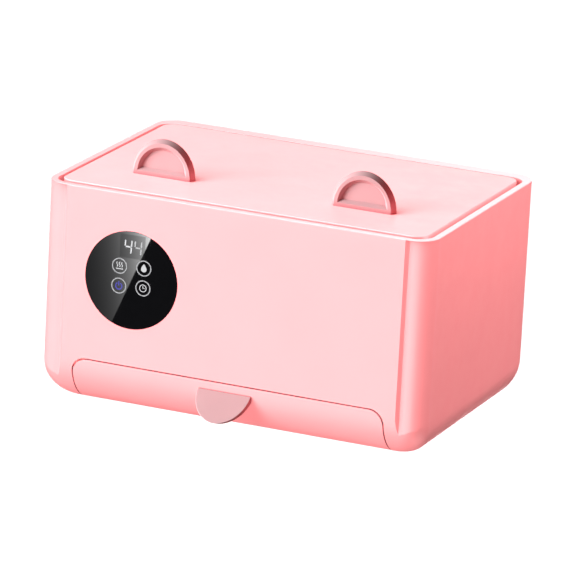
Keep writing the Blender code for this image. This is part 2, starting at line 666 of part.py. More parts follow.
def make_base(pink, steel, rubber):
    """The base plate under the case, its feet and its screws."""
    low, high = FOOT_STAND, UNDERSIDE - GAP
    shape = rounded_slab(UNDER_HALF - BASE_INSET, UNDER_FRONT + BASE_INSET, UNDER_BACK - BASE_INSET,
                         BASE_RADIUS, low, high)
    plate = place("base_plate", shape, pink)
    seat = low + BASE_SCREW_HEAD_HEIGHT + GAP
    for name, x, y in base_screw_places():
        carve(plate, f"screw_hole_{name}", rod(BASE_SCREW_RADIUS + GAP, (x, y, low - OVERRUN),
                                               (x, y, high + OVERRUN)))
        carve(plate, f"screw_seat_{name}", rod(BASE_SCREW_HEAD + GAP, (x, y, low - OVERRUN), (x, y, seat)))
        head = seat - GAP
        screw(f"base_screw_{name}", steel, (x, y, head), (0, 0, 1), BASE_SCREW_RADIUS, BASE_SCREW_HEAD,
              BASE_SCREW_HEAD_HEIGHT, UNDERSIDE + BASE_SCREW_BITE - head)
    for name, x, y in foot_places():
        carve(plate, f"foot_seat_{name}", rod(FOOT_RADIUS + GAP, (x, y, low - OVERRUN), (x, y, low + FOOT_RECESS),
                                              ROUND_STEPS))
        place(f"foot_{name}", rod(FOOT_RADIUS, (x, y, 0), (x, y, low + FOOT_RECESS - GAP), ROUND_STEPS), rubber)


def make_tank(material):
    """The heated tank: a deep tray whose flange hangs on the case's ledge, with a slot low in its front."""
    out = TANK_WALL
    flange = (RIM_HALF - GAP, RIM_FRONT + GAP, RIM_BACK - GAP, PLAN_RADIUS - RIM_WIDTH - GAP)
    outer = (TANK_HALF + out, TANK_FRONT - out, TANK_BACK + out, TANK_RADIUS + out)
    inner = (TANK_HALF, TANK_FRONT, TANK_BACK, TANK_RADIUS)
    foot = TANK_FOOT_FILLET

    def shrunk(loop, by):
        half, fore, rear, radius = loop
        return half - by, fore + by, rear - by, radius - by

    loops = [rounded_loop(*shrunk(outer, foot), TANK_OUTSIDE), rounded_loop(*outer, TANK_OUTSIDE + foot),
             rounded_loop(*outer, FLANGE_BOTTOM), rounded_loop(*flange, FLANGE_BOTTOM),
             rounded_loop(*flange, FLANGE_TOP), rounded_loop(*inner, FLANGE_TOP),
             rounded_loop(*inner, TANK_INSIDE + foot), rounded_loop(*shrunk(inner, foot), TANK_INSIDE)]
    tank = place("inner_tank", loft(loops), material)
    carve(tank, "slot", box((-CHUTE_HALF_WIDTH, TANK_FRONT - 2 * out, TANK_INSIDE + GAP),
                            (CHUTE_HALF_WIDTH, TANK_FRONT + 2 * foot, CHUTE_HIGH)))


def make_heater(film, foam, metal, red, black):
    """The heater round and under the tank, its insulation, and what watches its heat."""
    around = TANK_HALF + TANK_WALL + GAP
    fore, rear = TANK_FACE - GAP, TANK_BACK + TANK_WALL + GAP
    radius = TANK_RADIUS + TANK_WALL + GAP
    heater = place("heater_film", ring_band(around, fore, rear, radius, FILM_THICKNESS, UNDERSIDE + FILM_LOW,
                                            LEDGE_TOP - FILM_TOP_ROOM), film)
    tail_low = UNDERSIDE + FILM_LOW - FILM_TAIL_LENGTH
    carve(heater, "tail", box((FILM_TAIL_X - FILM_TAIL_WIDTH / 2, FILM_FACE, tail_low),
                              (FILM_TAIL_X + FILM_TAIL_WIDTH / 2, fore, UNDERSIDE + FILM_LOW + FILM_THICKNESS)),
          "UNION")
    out = FILM_THICKNESS + GAP
    place("insulation_wrap", ring_band(around + out, fore - out, rear + out, radius + out, WRAP_THICKNESS,
                                       UNDERSIDE + WRAP_LOW, LEDGE_TOP - WRAP_TOP_ROOM), foam)
    spreader_top = TANK_OUTSIDE - GAP
    spreader_low = spreader_top - SPREADER_THICKNESS
    plate = (TANK_HALF - SPREADER_INSET, TANK_FRONT + SPREADER_INSET, TANK_BACK - SPREADER_INSET, TANK_RADIUS)
    place("heat_spreader", rounded_slab(*plate, spreader_low, spreader_top), metal)
    place("bottom_pad", rounded_slab(*plate, spreader_low - GAP - PAD_THICKNESS, spreader_low - GAP), foam)
    z = UNDERSIDE + SENSOR_HEIGHT
    y = TANK_FACE - GAP - FUSE_RADIUS
    place("thermal_fuse", rod(FUSE_RADIUS, (FUSE_X - FUSE_LENGTH / 2, y, z), (FUSE_X + FUSE_LENGTH / 2, y, z)),
          red)
    width, depth, tall = SENSOR_SIZE
    place("thermistor", box((SENSOR_X - width / 2, TANK_FACE - GAP - depth, z - tall / 2),
                            (SENSOR_X + width / 2, TANK_FACE - GAP, z + tall / 2)), black)


def make_chute(white, rubber):
    """The flat chute from the tank's slot to the door, and the soft lip in its mouth."""
    back = TANK_FACE - GAP
    mouth = FRONT + CHUTE_FRONT
    half = CHUTE_HALF_WIDTH
    wall, edge = CHUTE_WALL, CHUTE_FLANGE
    chute = place("outlet_chute", box((-half - wall, mouth, CHUTE_LOW), (half + wall, back, CHUTE_HIGH + wall)),
                  white)
    flange = box((-half - wall - edge, back - CHUTE_FLANGE_THICKNESS, CHUTE_LOW - edge / 2),
                 (half + wall + edge, back, CHUTE_HIGH + wall + edge))
    carve(chute, "flange", flange, "UNION")
    carve(chute, "bore", box((-half, mouth - OVERRUN, TANK_INSIDE), (half, back + OVERRUN, CHUTE_HIGH)))
    fore = mouth + LIP_SET_BACK
    lip = place("outlet_lip", box((-half + GAP, fore, TANK_INSIDE + GAP),
                                  (half - GAP, fore + LIP_THICKNESS, CHUTE_HIGH - GAP)), rubber)
    slot = half - LIP_SLOT_INSET
    carve(lip, "slot", box((-slot, fore - OVERRUN, TANK_INSIDE + LIP_EDGE),
                           (slot, fore + OVERRUN, CHUTE_HIGH - LIP_EDGE)))


def make_door(pink, rose, steel, dark):
    """The curved outlet door with its knuckles, pins, pull tab and magnet catch."""
    pivot = (0, HINGE_Y, HINGE_Z)
    half = DOOR_HALF_WIDTH - SEAM / 2
    top = UNDERSIDE + DOOR_TOP - SEAM / 2
    sheet = front_sheet(0, DOOR_THICKNESS, top + DOOR_CORNER, DOOR_SWEEP, HALF_WIDTH)
    door = place("outlet_door", sheet, pink, pivot)
    carve(door, "outline", door_outline(half, top, DOOR_CORNER), "INTERSECT")
    pin_outer = DOOR_HALF_WIDTH + SEAM / 2 + PIN_BITE - GAP
    knuckle_end = half - HINGE_DROP
    for name, side in (("left", -1), ("right", 1)):
        start = (side * (knuckle_end - KNUCKLE_LENGTH), HINGE_Y, HINGE_Z)
        carve(door, f"knuckle_{name}", rod(KNUCKLE_RADIUS, start, (side * knuckle_end, HINGE_Y, HINGE_Z)), "UNION")
    for name, side in (("left", -1), ("right", 1)):
        inner = knuckle_end - KNUCKLE_LENGTH - OVERRUN / 2
        carve(door, f"bore_{name}", rod(PIN_RADIUS + GAP, (side * inner, HINGE_Y, HINGE_Z),
                                        (side * (half + OVERRUN), HINGE_Y, HINGE_Z)))
        place(f"hinge_pin_{name}", rod(PIN_RADIUS, (side * (pin_outer - PIN_LENGTH), HINGE_Y, HINGE_Z),
                                       (side * pin_outer, HINGE_Y, HINGE_Z)), steel)
    peg_z = UNDERSIDE + TAB_ROOT - PEG_DROP
    peg_end = FRONT + DOOR_THICKNESS
    for name, side in (("left", -1), ("right", 1)):
        x = MIDDLE_X + side * PEG_SPACING / 2
        carve(door, f"peg_hole_{name}", rod(PEG_RADIUS + GAP, (x, FRONT - OVERRUN, peg_z),
                                            (x, peg_end + OVERRUN, peg_z)))
    width, thickness, length = STRIKE_SIZE
    strike_offset = DOOR_THICKNESS - thickness
    pocket = (width + 2 * GAP, thickness + OVERRUN, length + 2 * GAP)
    carve(door, "strike_pocket", tilted_block(pocket, strike_offset - GAP, MAGNET_SWEEP, 1))
    place("door_strike", tilted_block(STRIKE_SIZE, strike_offset, MAGNET_SWEEP, 1), steel, pivot)
    place("door_magnet", tilted_block(MAGNET_SIZE, FRONT_WALL + GAP, MAGNET_SWEEP, 1), dark)
    make_tab(rose, pivot, peg_z, peg_end)


def make_tab(material, pivot, peg_z, peg_end):
    """The pull tab: half an oval plate that slopes down and out, held by two pegs in the door."""
    root = Vector((MIDDLE_X, FRONT - GAP, UNDERSIDE + TAB_ROOT))
    down = Vector((0, -math.sin(TAB_TILT), -math.cos(TAB_TILT)))
    under = Vector((0, math.cos(TAB_TILT), -math.sin(TAB_TILT))) * TAB_THICKNESS
    inward = -down * TAB_THICKNESS
    outline = [root + inward + Vector((TAB_HALF_WIDTH, 0, 0)), root + inward - Vector((TAB_HALF_WIDTH, 0, 0))]
    for step in range(EAR_STEPS + 1):
        angle = math.pi * step / EAR_STEPS
        outline.append(root + Vector((-TAB_HALF_WIDTH * math.cos(angle), 0, 0))
                       + down * TAB_LENGTH * math.sin(angle))
    tab = place("door_tab", polygon_prism(outline, under), material, pivot)
    middle = UNDERSIDE + FRONT_FILLET
    across = TAB_HALF_WIDTH + OVERRUN
    clear = FRONT_FILLET + GAP
    carve(tab, "seat", rod(clear, (MIDDLE_X - across, UNDER_FRONT, middle),
                           (MIDDLE_X + across, UNDER_FRONT, middle), 2 * DISC_STEPS))
    for name, side in (("left", -1), ("right", 1)):
        x = MIDDLE_X + side * PEG_SPACING / 2
        start = FRONT - TAB_THICKNESS / 2
        carve(tab, f"peg_{name}", rod(PEG_RADIUS, (x, start, peg_z), (x, peg_end, peg_z)), "UNION")


def make_controls(black, glow, green, steel, foam):
    """The lens, the display, the board with its screws, and the pillars under the touch keys."""
    place("control_lens", rod(LENS_RADIUS, (LENS_X, LENS_FACE, LENS_Z), (LENS_X, LENS_BACK, LENS_Z), DISC_STEPS),
          black)
    wide, tall = DISPLAY_SIZE
    middle = LENS_Z + DISPLAY_RISE
    start = LENS_BACK + GAP
    end = BOARD_FRONT - GAP
    place("display_module", box((LENS_X - wide / 2, start, middle - tall / 2),
                                (LENS_X + wide / 2, end, middle + tall / 2)), glow)
    width, _, height = BOARD_SIZE
    board = place("control_board", box((LENS_X - width / 2, BOARD_FRONT, BOARD_LOW),
                                       (LENS_X + width / 2, BOARD_BACK, BOARD_LOW + height)), green)
    for name, x, z in board_screw_places():
        carve(board, f"hole_{name}", rod(BOARD_SCREW_RADIUS + GAP, (x, BOARD_FRONT - OVERRUN, z),
                                         (x, BOARD_BACK + OVERRUN, z)))
        seat = BOARD_BACK + GAP
        reach = seat - (INNER_FRONT + BOARD_STANDOFF - BOARD_SCREW_BITE)
        screw(f"board_screw_{name}", steel, (x, seat, z), (0, -1, 0), BOARD_SCREW_RADIUS, BOARD_SCREW_HEAD,
              BOARD_SCREW_HEAD_HEIGHT, reach)
    for name, x, z in key_places():
        place(f"touch_pillar_{name}", rod(KEY_PILLAR_RADIUS, (x, start, z), (x, end, z)), foam)


def make_jack(black, steel):
    """The power inlet at the back and the nut that holds it."""
    z = UNDERSIDE + JACK_HEIGHT
    face = BACK - JACK_SINK
    wall = face - JACK_FLANGE_THICKNESS
    profile = [(0, -JACK_CONTACT), (JACK_CONTACT, -JACK_CONTACT),
               (JACK_CONTACT, -JACK_SOCKET_DEPTH), (JACK_SOCKET, -JACK_SOCKET_DEPTH), (JACK_SOCKET, 0),
               (JACK_FLANGE, 0), (JACK_FLANGE, wall - face), (JACK_RADIUS, wall - face),
               (JACK_RADIUS, wall - face - JACK_LENGTH), (0, wall - face - JACK_LENGTH)]
    place("dc_jack", turned(profile, (JACK_X, face, z), (0, 1, 0)), black)
    high = INNER_BACK - GAP
    low = high - NUT_THICKNESS
    nut = place("jack_nut", rod(NUT_RADIUS, (JACK_X, low, z), (JACK_X, high, z), NUT_SIDES), steel)
    carve(nut, "bore", rod(JACK_RADIUS + GAP, (JACK_X, low - OVERRUN, z), (JACK_X, high + OVERRUN, z),
                           ROUND_STEPS))


def make_leads(black, red, white):
    """The leads inside the case, each from its terminal to the lower edge of the control board."""
    board_y = (BOARD_FRONT + BOARD_BACK) / 2
    meet = BOARD_LOW - GAP
    low = UNDERSIDE + SENSOR_HEIGHT
    side_x = -(INNER_HALF + TANK_HALF + TANK_WALL + WRAP_THICKNESS) / 2
    rear_y = (INNER_BACK + TANK_BACK) / 2
    jack_y = BACK - JACK_SINK - JACK_FLANGE_THICKNESS - JACK_LENGTH - GAP
    jack_z = UNDERSIDE + JACK_HEIGHT
    bend = SIDE_FILLET * 2 / 3
    rise = meet - low
    lead("power_lead", black, POWER_LEAD_RADIUS,
         [(JACK_X, jack_y, jack_z), (JACK_X, jack_y - bend / 5, jack_z),
          (JACK_X - bend / 3, jack_y - bend / 3, jack_z), (side_x + bend, jack_y - bend / 3, jack_z),
          (side_x, rear_y - bend, jack_z), (side_x, TANK_MIDDLE, low), (side_x, TANK_FRONT + bend / 3, low),
          (side_x + bend, board_y, low), (LENS_X - bend * 3 / 2, board_y, low + rise / 3),
          (LENS_X - bend, board_y, meet - rise / 3), (LENS_X - bend, board_y, meet)])
    tail_y = FILM_FACE - GAP
    behind_y = board_y + LEAD_RADIUS + GAP
    lead("heater_lead", red, LEAD_RADIUS,
         [(FILM_TAIL_X, tail_y, low), (FILM_TAIL_X, tail_y - bend / 5, low),
          (FILM_TAIL_X - bend, behind_y, low + rise / 9), (LENS_X + bend / 5, behind_y, low + rise / 3),
          (LENS_X, board_y, meet - rise / 3), (LENS_X, board_y, meet)])
    sensor_y = TANK_FACE - GAP - SENSOR_SIZE[1] - GAP
    before_y = board_y - LEAD_RADIUS - GAP
    lead("sensor_lead", white, LEAD_RADIUS,
         [(SENSOR_X, sensor_y, low), (SENSOR_X, sensor_y - bend / 6, low),
          (SENSOR_X - bend, before_y, low + rise / 4), (LENS_X + 2 * bend, before_y, low + rise / 2),
          (LENS_X + bend, before_y, meet - rise / 3), (LENS_X + bend, before_y, meet)])


def ear_places():
    """The middles of the two ears, as (name, x)."""
    return [("left", MIDDLE_X - LID_HALF + EAR_INSET), ("right", MIDDLE_X + LID_HALF - EAR_INSET)]


def ear_loop(centre, half_width, height, depth, sill=0.0):
    """Half an oval that stands on a straight sill, at a depth behind the ear's face."""
    loop = []
    for step in range(EAR_STEPS + 1):
        angle = math.pi * step / EAR_STEPS
        loop.append(Vector((centre + half_width * math.cos(angle), EAR_Y + depth,
                            EAR_BASE + sill + (height - sill) * math.sin(angle))))
    return loop


def make_lid(pale, rose, foam, rubber, white, steel):
    """The lift-off lid: cover, foam, liner, seal, and the two ears with their screws."""
    outer = (LID_HALF, LID_FRONT, LID_BACK, LID_RADIUS)
    edge = LID_EDGE
    top = (LID_HALF - edge, LID_FRONT + edge, LID_BACK - edge, LID_RADIUS - edge)
    wall = LID_SKIRT
    inner = (LID_HALF - wall, LID_FRONT + wall, LID_BACK - wall, LID_RADIUS - wall)
    low = TOP - LID_SKIRT_DEPTH
    loops = [rounded_loop(*top, TOP), rounded_loop(*outer, TOP - edge), rounded_loop(*outer, low),
             rounded_loop(*inner, low), rounded_loop(*inner, LID_SLAB)]
    cover = place("lid_cover", loft(loops), pale)
    in_foam = FOAM_INSET + wall
    foam_low, foam_high = LINER_TOP + GAP, LID_SLAB - GAP
    filler = place("lid_foam", rounded_slab(LID_HALF - in_foam, LID_FRONT + in_foam, LID_BACK - in_foam,
                                            FOAM_RADIUS, foam_low, foam_high), foam)
    screw_y = EAR_Y + EAR_THICKNESS / 2
    for name, centre in ear_places():
        ear = make_ear(name, centre, rose)
        for end, side in (("outer", -1 if name == "left" else 1), ("inner", 1 if name == "left" else -1)):
            x = centre + side * EAR_SCREW_X
            seat = LID_SLAB - GAP
            tip = EAR_BASE + EAR_SCREW_BITE
            bore = EAR_SCREW_RADIUS + GAP
            carve(ear, f"pilot_{end}", rod(bore, (x, screw_y, EAR_BASE - OVERRUN), (x, screw_y, tip + GAP)))
            carve(cover, f"hole_{name}_{end}", rod(bore, (x, screw_y, LID_SLAB - OVERRUN),
                                                   (x, screw_y, TOP + OVERRUN)))
            carve(filler, f"room_{name}_{end}", rod(EAR_SCREW_HEAD + GAP, (x, screw_y, foam_low - OVERRUN),
                                                    (x, screw_y, foam_high + OVERRUN)))
            screw(f"ear_screw_{name}_{end}", steel, (x, screw_y, seat), (0, 0, 1), EAR_SCREW_RADIUS,
                  EAR_SCREW_HEAD, EAR_SCREW_HEAD_HEIGHT, tip - seat)
    make_liner(white, rubber)


def make_ear(name, centre, material):
    """One ear: a half-round plate with a raised ring round a shallow dish."""
    ring_half = EAR_HALF_WIDTH - EAR_SLOPE_WIDTH
    ring_height = EAR_HEIGHT - EAR_SLOPE_WIDTH
    dish_half, dish_height = ring_half - EAR_RING, ring_height - EAR_RING
    floor_half, floor_height = dish_half - EAR_DISH_SLOPE, dish_height - EAR_DISH_SLOPE
    floor_sill = EAR_SILL + EAR_DISH_SLOPE / 2
    loops = [ear_loop(centre, EAR_HALF_WIDTH, EAR_HEIGHT, EAR_THICKNESS),
             ear_loop(centre, EAR_HALF_WIDTH, EAR_HEIGHT, EAR_SLOPE_DEPTH),
             ear_loop(centre, ring_half, ring_height, 0),
             ear_loop(centre, dish_half, dish_height, 0, EAR_SILL),
             ear_loop(centre, floor_half, floor_height, EAR_DISH_DEPTH, floor_sill)]
    return place(f"ear_{name}", loft(loops), material)


def make_liner(white, rubber):
    """The lid's inner plate, with a plug that enters the tank's mouth, and the seal under it."""
    gap = LID_SKIRT + GAP
    edge = (LID_HALF - gap, LID_FRONT + gap, LID_BACK - gap, LID_RADIUS - gap)
    clear = LINER_PLUG_GAP
    plug = (TANK_HALF - clear, TANK_FRONT + clear, TANK_BACK - clear, LINER_PLUG_RADIUS)
    wall = LINER_PLUG_WALL
    hollow = (plug[0] - wall, plug[1] + wall, plug[2] - wall, plug[3] - wall)
    plug_low = LINER_BOTTOM - LINER_PLUG_DEPTH
    loops = [rounded_loop(*edge, LINER_TOP), rounded_loop(*edge, LINER_BOTTOM), rounded_loop(*plug, LINER_BOTTOM),
             rounded_loop(*plug, plug_low), rounded_loop(*hollow, plug_low), rounded_loop(*hollow, LINER_BOTTOM)]
    place("lid_liner", loft(loops), white)
    out = SEAL_INSET
    seal_low, seal_high = FLANGE_TOP + GAP, LINER_BOTTOM - GAP
    place("lid_seal", ring_band(TANK_HALF + out, TANK_FRONT - out, TANK_BACK + out, TANK_RADIUS + out, SEAL_WIDTH,
                                seal_low, seal_high), rubber)


def make_press(white, steel, rose):
    """The press plate that lies on the wipes, its steel weight and the knob that holds the two together."""
    clear = PRESS_CLEARANCE
    outer = (TANK_HALF - clear, TANK_FRONT + clear, TANK_BACK - clear, PRESS_RADIUS)
    wall = PRESS_RIM_WALL
    inner = (outer[0] - wall, outer[1] + wall, outer[2] - wall, outer[3] - wall)
    rim = PRESS_LOW + PRESS_RIM_HEIGHT
    plate = place("press_plate", loft([rounded_loop(*outer, PRESS_LOW), rounded_loop(*outer, rim),
                                       rounded_loop(*inner, rim), rounded_loop(*inner, PRESS_FLOOR)]), white)
    width, depth, tall = WEIGHT_SIZE
    low = PRESS_FLOOR + GAP
    weight = place("press_weight", rounded_slab(width / 2, TANK_MIDDLE - depth / 2, TANK_MIDDLE + depth / 2,
                                                WEIGHT_RADIUS, low, low + tall), steel)
    hole = KNOB_PEG_RADIUS + GAP
    for piece in (plate, weight):
        carve(piece, "peg_hole", rod(hole, (0, TANK_MIDDLE, PRESS_LOW - OVERRUN),
                                     (0, TANK_MIDDLE, low + tall + OVERRUN)))
    seat = low + tall + GAP
    top = seat + KNOB_HEIGHT
    edge = KNOB_TOP_THICKNESS / 3
    profile = [(0, top), (KNOB_RADIUS - edge, top), (KNOB_RADIUS, top - edge),
               (KNOB_RADIUS, top - KNOB_TOP_THICKNESS), (KNOB_NECK, top - KNOB_TOP_THICKNESS - edge),
               (KNOB_NECK, seat + edge), (KNOB_NECK + edge, seat), (KNOB_PEG_RADIUS, seat),
               (KNOB_PEG_RADIUS, PRESS_LOW + GAP), (0, PRESS_LOW + GAP)]
    place("press_knob", turned(profile, (0, TANK_MIDDLE, 0), (0, 0, 1)), rose)


def build():
    """Makes every piece."""
    pink = finish("pink_abs", PINK, 0.35)
    pale = finish("pale_pink_abs", PALE_PINK, 0.35)
    rose = finish("rose_abs", ROSE, 0.38)
    black = finish("black_acrylic", BLACK, 0.08)
    dark = finish("black_plastic", BLACK, 0.5)
    white = finish("white_polypropylene", WHITE, 0.45)
    rubber = finish("grey_silicone", GREY, 0.8)
    foam = finish("white_foam", WHITE, 0.95)
    steel = finish("steel", STEEL, 0.3, 1.0)
    metal = finish("aluminium_plate", STEEL, 0.4, 1.0)
    film = finish("amber_film", AMBER, 0.4)
    green = finish("green_board", GREEN, 0.45)
    red = finish("red_sleeve", RED, 0.5)
    make_case(pink)
    make_base(pink, steel, rubber)
    make_tank(white)
    make_heater(film, foam, metal, red, dark)
    make_chute(white, rubber)
    make_door(pink, rose, steel, dark)
    make_controls(black, dark, green, steel, foam)
    make_jack(dark, steel)
    make_leads(dark, red, white)
    make_lid(pale, rose, foam, rubber, white, steel)
    make_press(white, steel, rose)


build()
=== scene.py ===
"""The looks of a baby wipe warmer round its packed CAD frame: moulded shells, controls, inner parts and stage.

Metres, +Z up, the front at -Y. The origin lies on the table under the middle of what the object covers.
"""

import math

import bmesh
import bpy
from mathutils import Matrix, Vector


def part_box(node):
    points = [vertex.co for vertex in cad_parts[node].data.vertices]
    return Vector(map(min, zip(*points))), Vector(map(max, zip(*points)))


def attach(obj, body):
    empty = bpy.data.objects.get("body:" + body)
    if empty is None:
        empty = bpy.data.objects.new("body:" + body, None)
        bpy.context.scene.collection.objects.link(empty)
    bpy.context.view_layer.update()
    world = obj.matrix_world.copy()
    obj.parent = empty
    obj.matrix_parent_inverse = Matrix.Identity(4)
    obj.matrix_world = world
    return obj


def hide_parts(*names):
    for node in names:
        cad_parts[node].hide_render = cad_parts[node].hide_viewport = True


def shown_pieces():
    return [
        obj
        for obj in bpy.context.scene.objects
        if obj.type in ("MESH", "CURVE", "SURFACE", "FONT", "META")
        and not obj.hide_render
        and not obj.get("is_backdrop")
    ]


bl_info = {
    "name": "Baby wipe warmer",
    "version": (1, 0, 0),
    "blender": (4, 5, 0),
    "location": "3D View > Sidebar > Warmer",
    "description": "Builds the visible shells, controls and inner parts of a baby wipe warmer",
    "category": "Object",
}

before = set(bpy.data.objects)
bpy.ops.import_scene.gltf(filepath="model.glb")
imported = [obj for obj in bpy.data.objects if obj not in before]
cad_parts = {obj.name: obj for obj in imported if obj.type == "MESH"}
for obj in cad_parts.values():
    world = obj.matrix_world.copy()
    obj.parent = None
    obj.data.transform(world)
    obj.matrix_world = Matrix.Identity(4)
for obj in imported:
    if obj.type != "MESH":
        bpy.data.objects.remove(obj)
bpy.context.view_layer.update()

# What the CAD frame already fixes
CASE_LOW, CASE_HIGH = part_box("outer_case")
LID_LOW, LID_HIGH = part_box("lid_cover")
TANK_LOW, TANK_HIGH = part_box("inner_tank")
DOOR_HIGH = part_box("outlet_door")[1]
TAB_LOW, TAB_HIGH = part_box("door_tab")
LENS_LOW, LENS_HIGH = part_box("control_lens")
LENS_X = (LENS_LOW.x + LENS_HIGH.x) / 2
LENS_Z = (LENS_LOW.z + LENS_HIGH.z) / 2
LENS_RADIUS = (LENS_HIGH.x - LENS_LOW.x) / 2
FRONT, BACK = CASE_LOW.y, CASE_HIGH.y
HALF_WIDTH = CASE_HIGH.x
UNDERSIDE, TOP = CASE_LOW.z, CASE_HIGH.z

MM = 0.001
GAP = 0.3 * MM  # between parts that sit in each other
OVERRUN = 3 * MM  # how far a cutter runs past what it cuts
WELD = GAP / 100
SHARP = math.radians(30)
ON_SKIN = 0.03 * MM  # how near a surface a point counts as on it
TAB_TILT, TAB_SIDE_TILT = math.radians(45), math.radians(18)  # how much the pull tab's face and its side slant
LENS_FACE = FRONT - 0.1 * MM
MARK_FACE, MARK_BACK = LENS_FACE - 0.05 * MM, LENS_FACE - 0.01 * MM  # the printed marks on the lens
INLET_FLAT, INLET_BARREL = 1 * MM, 4 * MM  # thickness of the inlet's flange, radius of its barrel

X, Y, Z = range(3)
SIDES, LEVELS, ENDS = ("left", "right"), ("lower", "upper"), ("inner", "outer")
BASE_CORNERS = ("front_left", "front_right", "back_left", "back_right")
BOARD_SCREWS = [f"board_screw_{level}_{side}" for level in LEVELS for side in SIDES]


def length(name, value, description):
    """A size that can be set in the sidebar."""
    return bpy.props.FloatProperty(name=name, description=description, default=value, min=0, unit="LENGTH",
                                   precision=4)


def tint(name, hex_code, description):
    """A colour that can be set in the sidebar."""
    return bpy.props.FloatVectorProperty(name=name, description=description, default=linear(hex_code), size=3,
                                         min=0, max=1, subtype="COLOR")


def linear(hex_code):
    """An sRGB hex value as linear red, green and blue."""
    channels = [int(hex_code[at:at + 2], 16) / 255 for at in (1, 3, 5)]
    return [c / 12.92 if c <= 0.04045 else ((c + 0.055) / 1.055) ** 2.4 for c in channels]


class WarmerCase(bpy.types.PropertyGroup):
    """Sizes of the outer shell."""
    plan_radius: length("Corner", 14 * MM, "Radius of the shell's upright corners")
    side_fillet: length("Side round", 21 * MM, "How the sides round into the underside")
    front_fillet: length("Front round", 28 * MM, "How the front rounds into the underside")
    back_fillet: length("Back round", 25.5 * MM, "How the back rounds into the underside")
    side_wall: length("Side wall", 2.5 * MM, "Thickness of the sides and the back")
    front_wall: length("Front wall", 4.5 * MM, "Thickness of the front and the floor")
    rim: length("Rim", 4 * MM, "Width of the rim round the lid")
    rim_back: length("Rim at the back", 9 * MM, "Width of the rim behind the lid")
    edge: length("Rim edge", 0.8 * MM, "Round of the rim's outer edge")
    column: length("Column", 15.5 * MM, "From the side to the raised front")
    slope: length("Column slope", 1.6 * MM, "Width of the slope from the raised front to a column")
    recess: length("Column recess", 2.2 * MM, "How far a corner column lies behind the raised front")
    lip: length("Column lip", 0.45 * MM, "What the rim keeps over a corner column")


class WarmerDoor(bpy.types.PropertyGroup):
    """Sizes of the outlet door and its pull tab."""
    seam: length("Seam", 0.7 * MM, "Gap round the door")
    corner: length("Corner", 9 * MM, "Radius of the door's upper corners")
    thickness: length("Thickness", 2.2 * MM, "Thickness of the door")
    sweep: bpy.props.FloatProperty(name="Sweep", description="How far the door follows the round front underneath",
                                   default=math.radians(68), subtype="ANGLE")
    tab_thickness: length("Tab", 4.5 * MM, "Thickness of the pull tab")
    tab_edge: length("Tab edge", 0.4 * MM, "Round of the pull tab's edges")
    tab_stand: length("Tab stand-off", 0.8 * MM, "How far the tab's root stands in front of the door")
    tab_shift: length("Tab shift", 1.3 * MM, "How far the tab sits to the right of the plate under it")
    tab_tip: length("Tab tip", 1 * MM, "How far the tip runs on past the plate under it")
    hinge_back: length("Hinge depth", 2.1 * MM, "From the front to the hinge's axis")
    hinge_drop: length("Hinge drop", 6.5 * MM, "From the door's upper edge to the hinge's axis")
    knuckle: length("Knuckle", 1.55 * MM, "Radius of a hinge knuckle")
    pin: length("Pin", 0.6 * MM, "Radius of a hinge pin")


class WarmerLid(bpy.types.PropertyGroup):
    """Sizes of the lid and its ears."""
    radius: length("Corner", 8 * MM, "Radius of the lid's corners")
    edge: length("Edge", 0.6 * MM, "Round of the lid's upper edge")
    slab: length("Top", 2.2 * MM, "Thickness of the lid's top")
    proud: length("Lid height", 0.5 * MM, "How far the lid stands above the rim")
    skirt: length("Skirt", 2 * MM, "Thickness of the lid's skirt")
    ear_slope: length("Ear slope", 2 * MM, "Width of the slope round an ear")
    ear_slope_depth: length("Ear slope depth", 3.2 * MM, "Depth of the slope round an ear")
    ear_ring: length("Ear ring", 2.4 * MM, "Width of the raised ring")
    ear_dish: length("Ear dish", 2.2 * MM, "Depth of the dish in an ear, and the width of its slope")
    ear_sill: length("Ear sill", 2.5 * MM, "Height of the sill under the dish")
    ear_edge: length("Ear edge", 0.5 * MM, "Round of an ear's edges")


class WarmerTank(bpy.types.PropertyGroup):
    """Sizes of the tank and the press plate."""
    side_room: length("Side room", 16 * MM, "From the shell's side to the tank's inside")
    front_room: length("Front room", 19 * MM, "From the shell's front to the tank's inside")
    back_room: length("Back room", 25 * MM, "From the shell's back to the tank's inside")
    radius: length("Corner", 10 * MM, "Radius of the tank's upright corners")
    wall: length("Wall", 2 * MM, "Thickness of the tank")
    foot: length("Foot round", 3 * MM, "Round between the tank's walls and its floor")
    press_wall: length("Press rim", 1.8 * MM, "Thickness of the press plate's rim")
    press_floor: length("Press floor", 2.2 * MM, "Thickness of the press plate")


class WarmerColours(bpy.types.PropertyGroup):
    """Colours of the finishes."""
    body: tint("Body", "#EF8688", "Pink of the shell and the door")
    lid: tint("Lid", "#EF8C8E", "Pink of the lid")
    rose: tint("Ears and tab", "#A27F81", "Deeper pink of the ears, the tab and the knob")
    # Painted shade of the pink shells: the colour they go over to in seams, creases and recesses where shade
    # falls.
    seam: tint("Seams", "#62323A", "What the pink goes over to in the seams")
    # Painted shade of the ears, the tab and the knob: the colour they go over to in their dishes, slopes and
    # creases.
    painted_rose_shade: tint("Deep rose", "#8C2430", "What the deeper pink goes over to in its hollows")
    lens: tint("Lens", "#040405", "Back print of the lens")
    rings: tint("Rings", "#7A7A7C", "Printed rings round the keys")
    marks: tint("Marks", "#8E8E90", "Printed icons and lit digits")
    lit_key: tint("Lit key", "#292770", "Icon of the key that is on")


SIZES = {"warmer_case": WarmerCase, "warmer_door": WarmerDoor, "warmer_lid": WarmerLid,
         "warmer_tank": WarmerTank, "warmer_colours": WarmerColours}


# Meshes ------------------------------------------------------------------------------------------------------

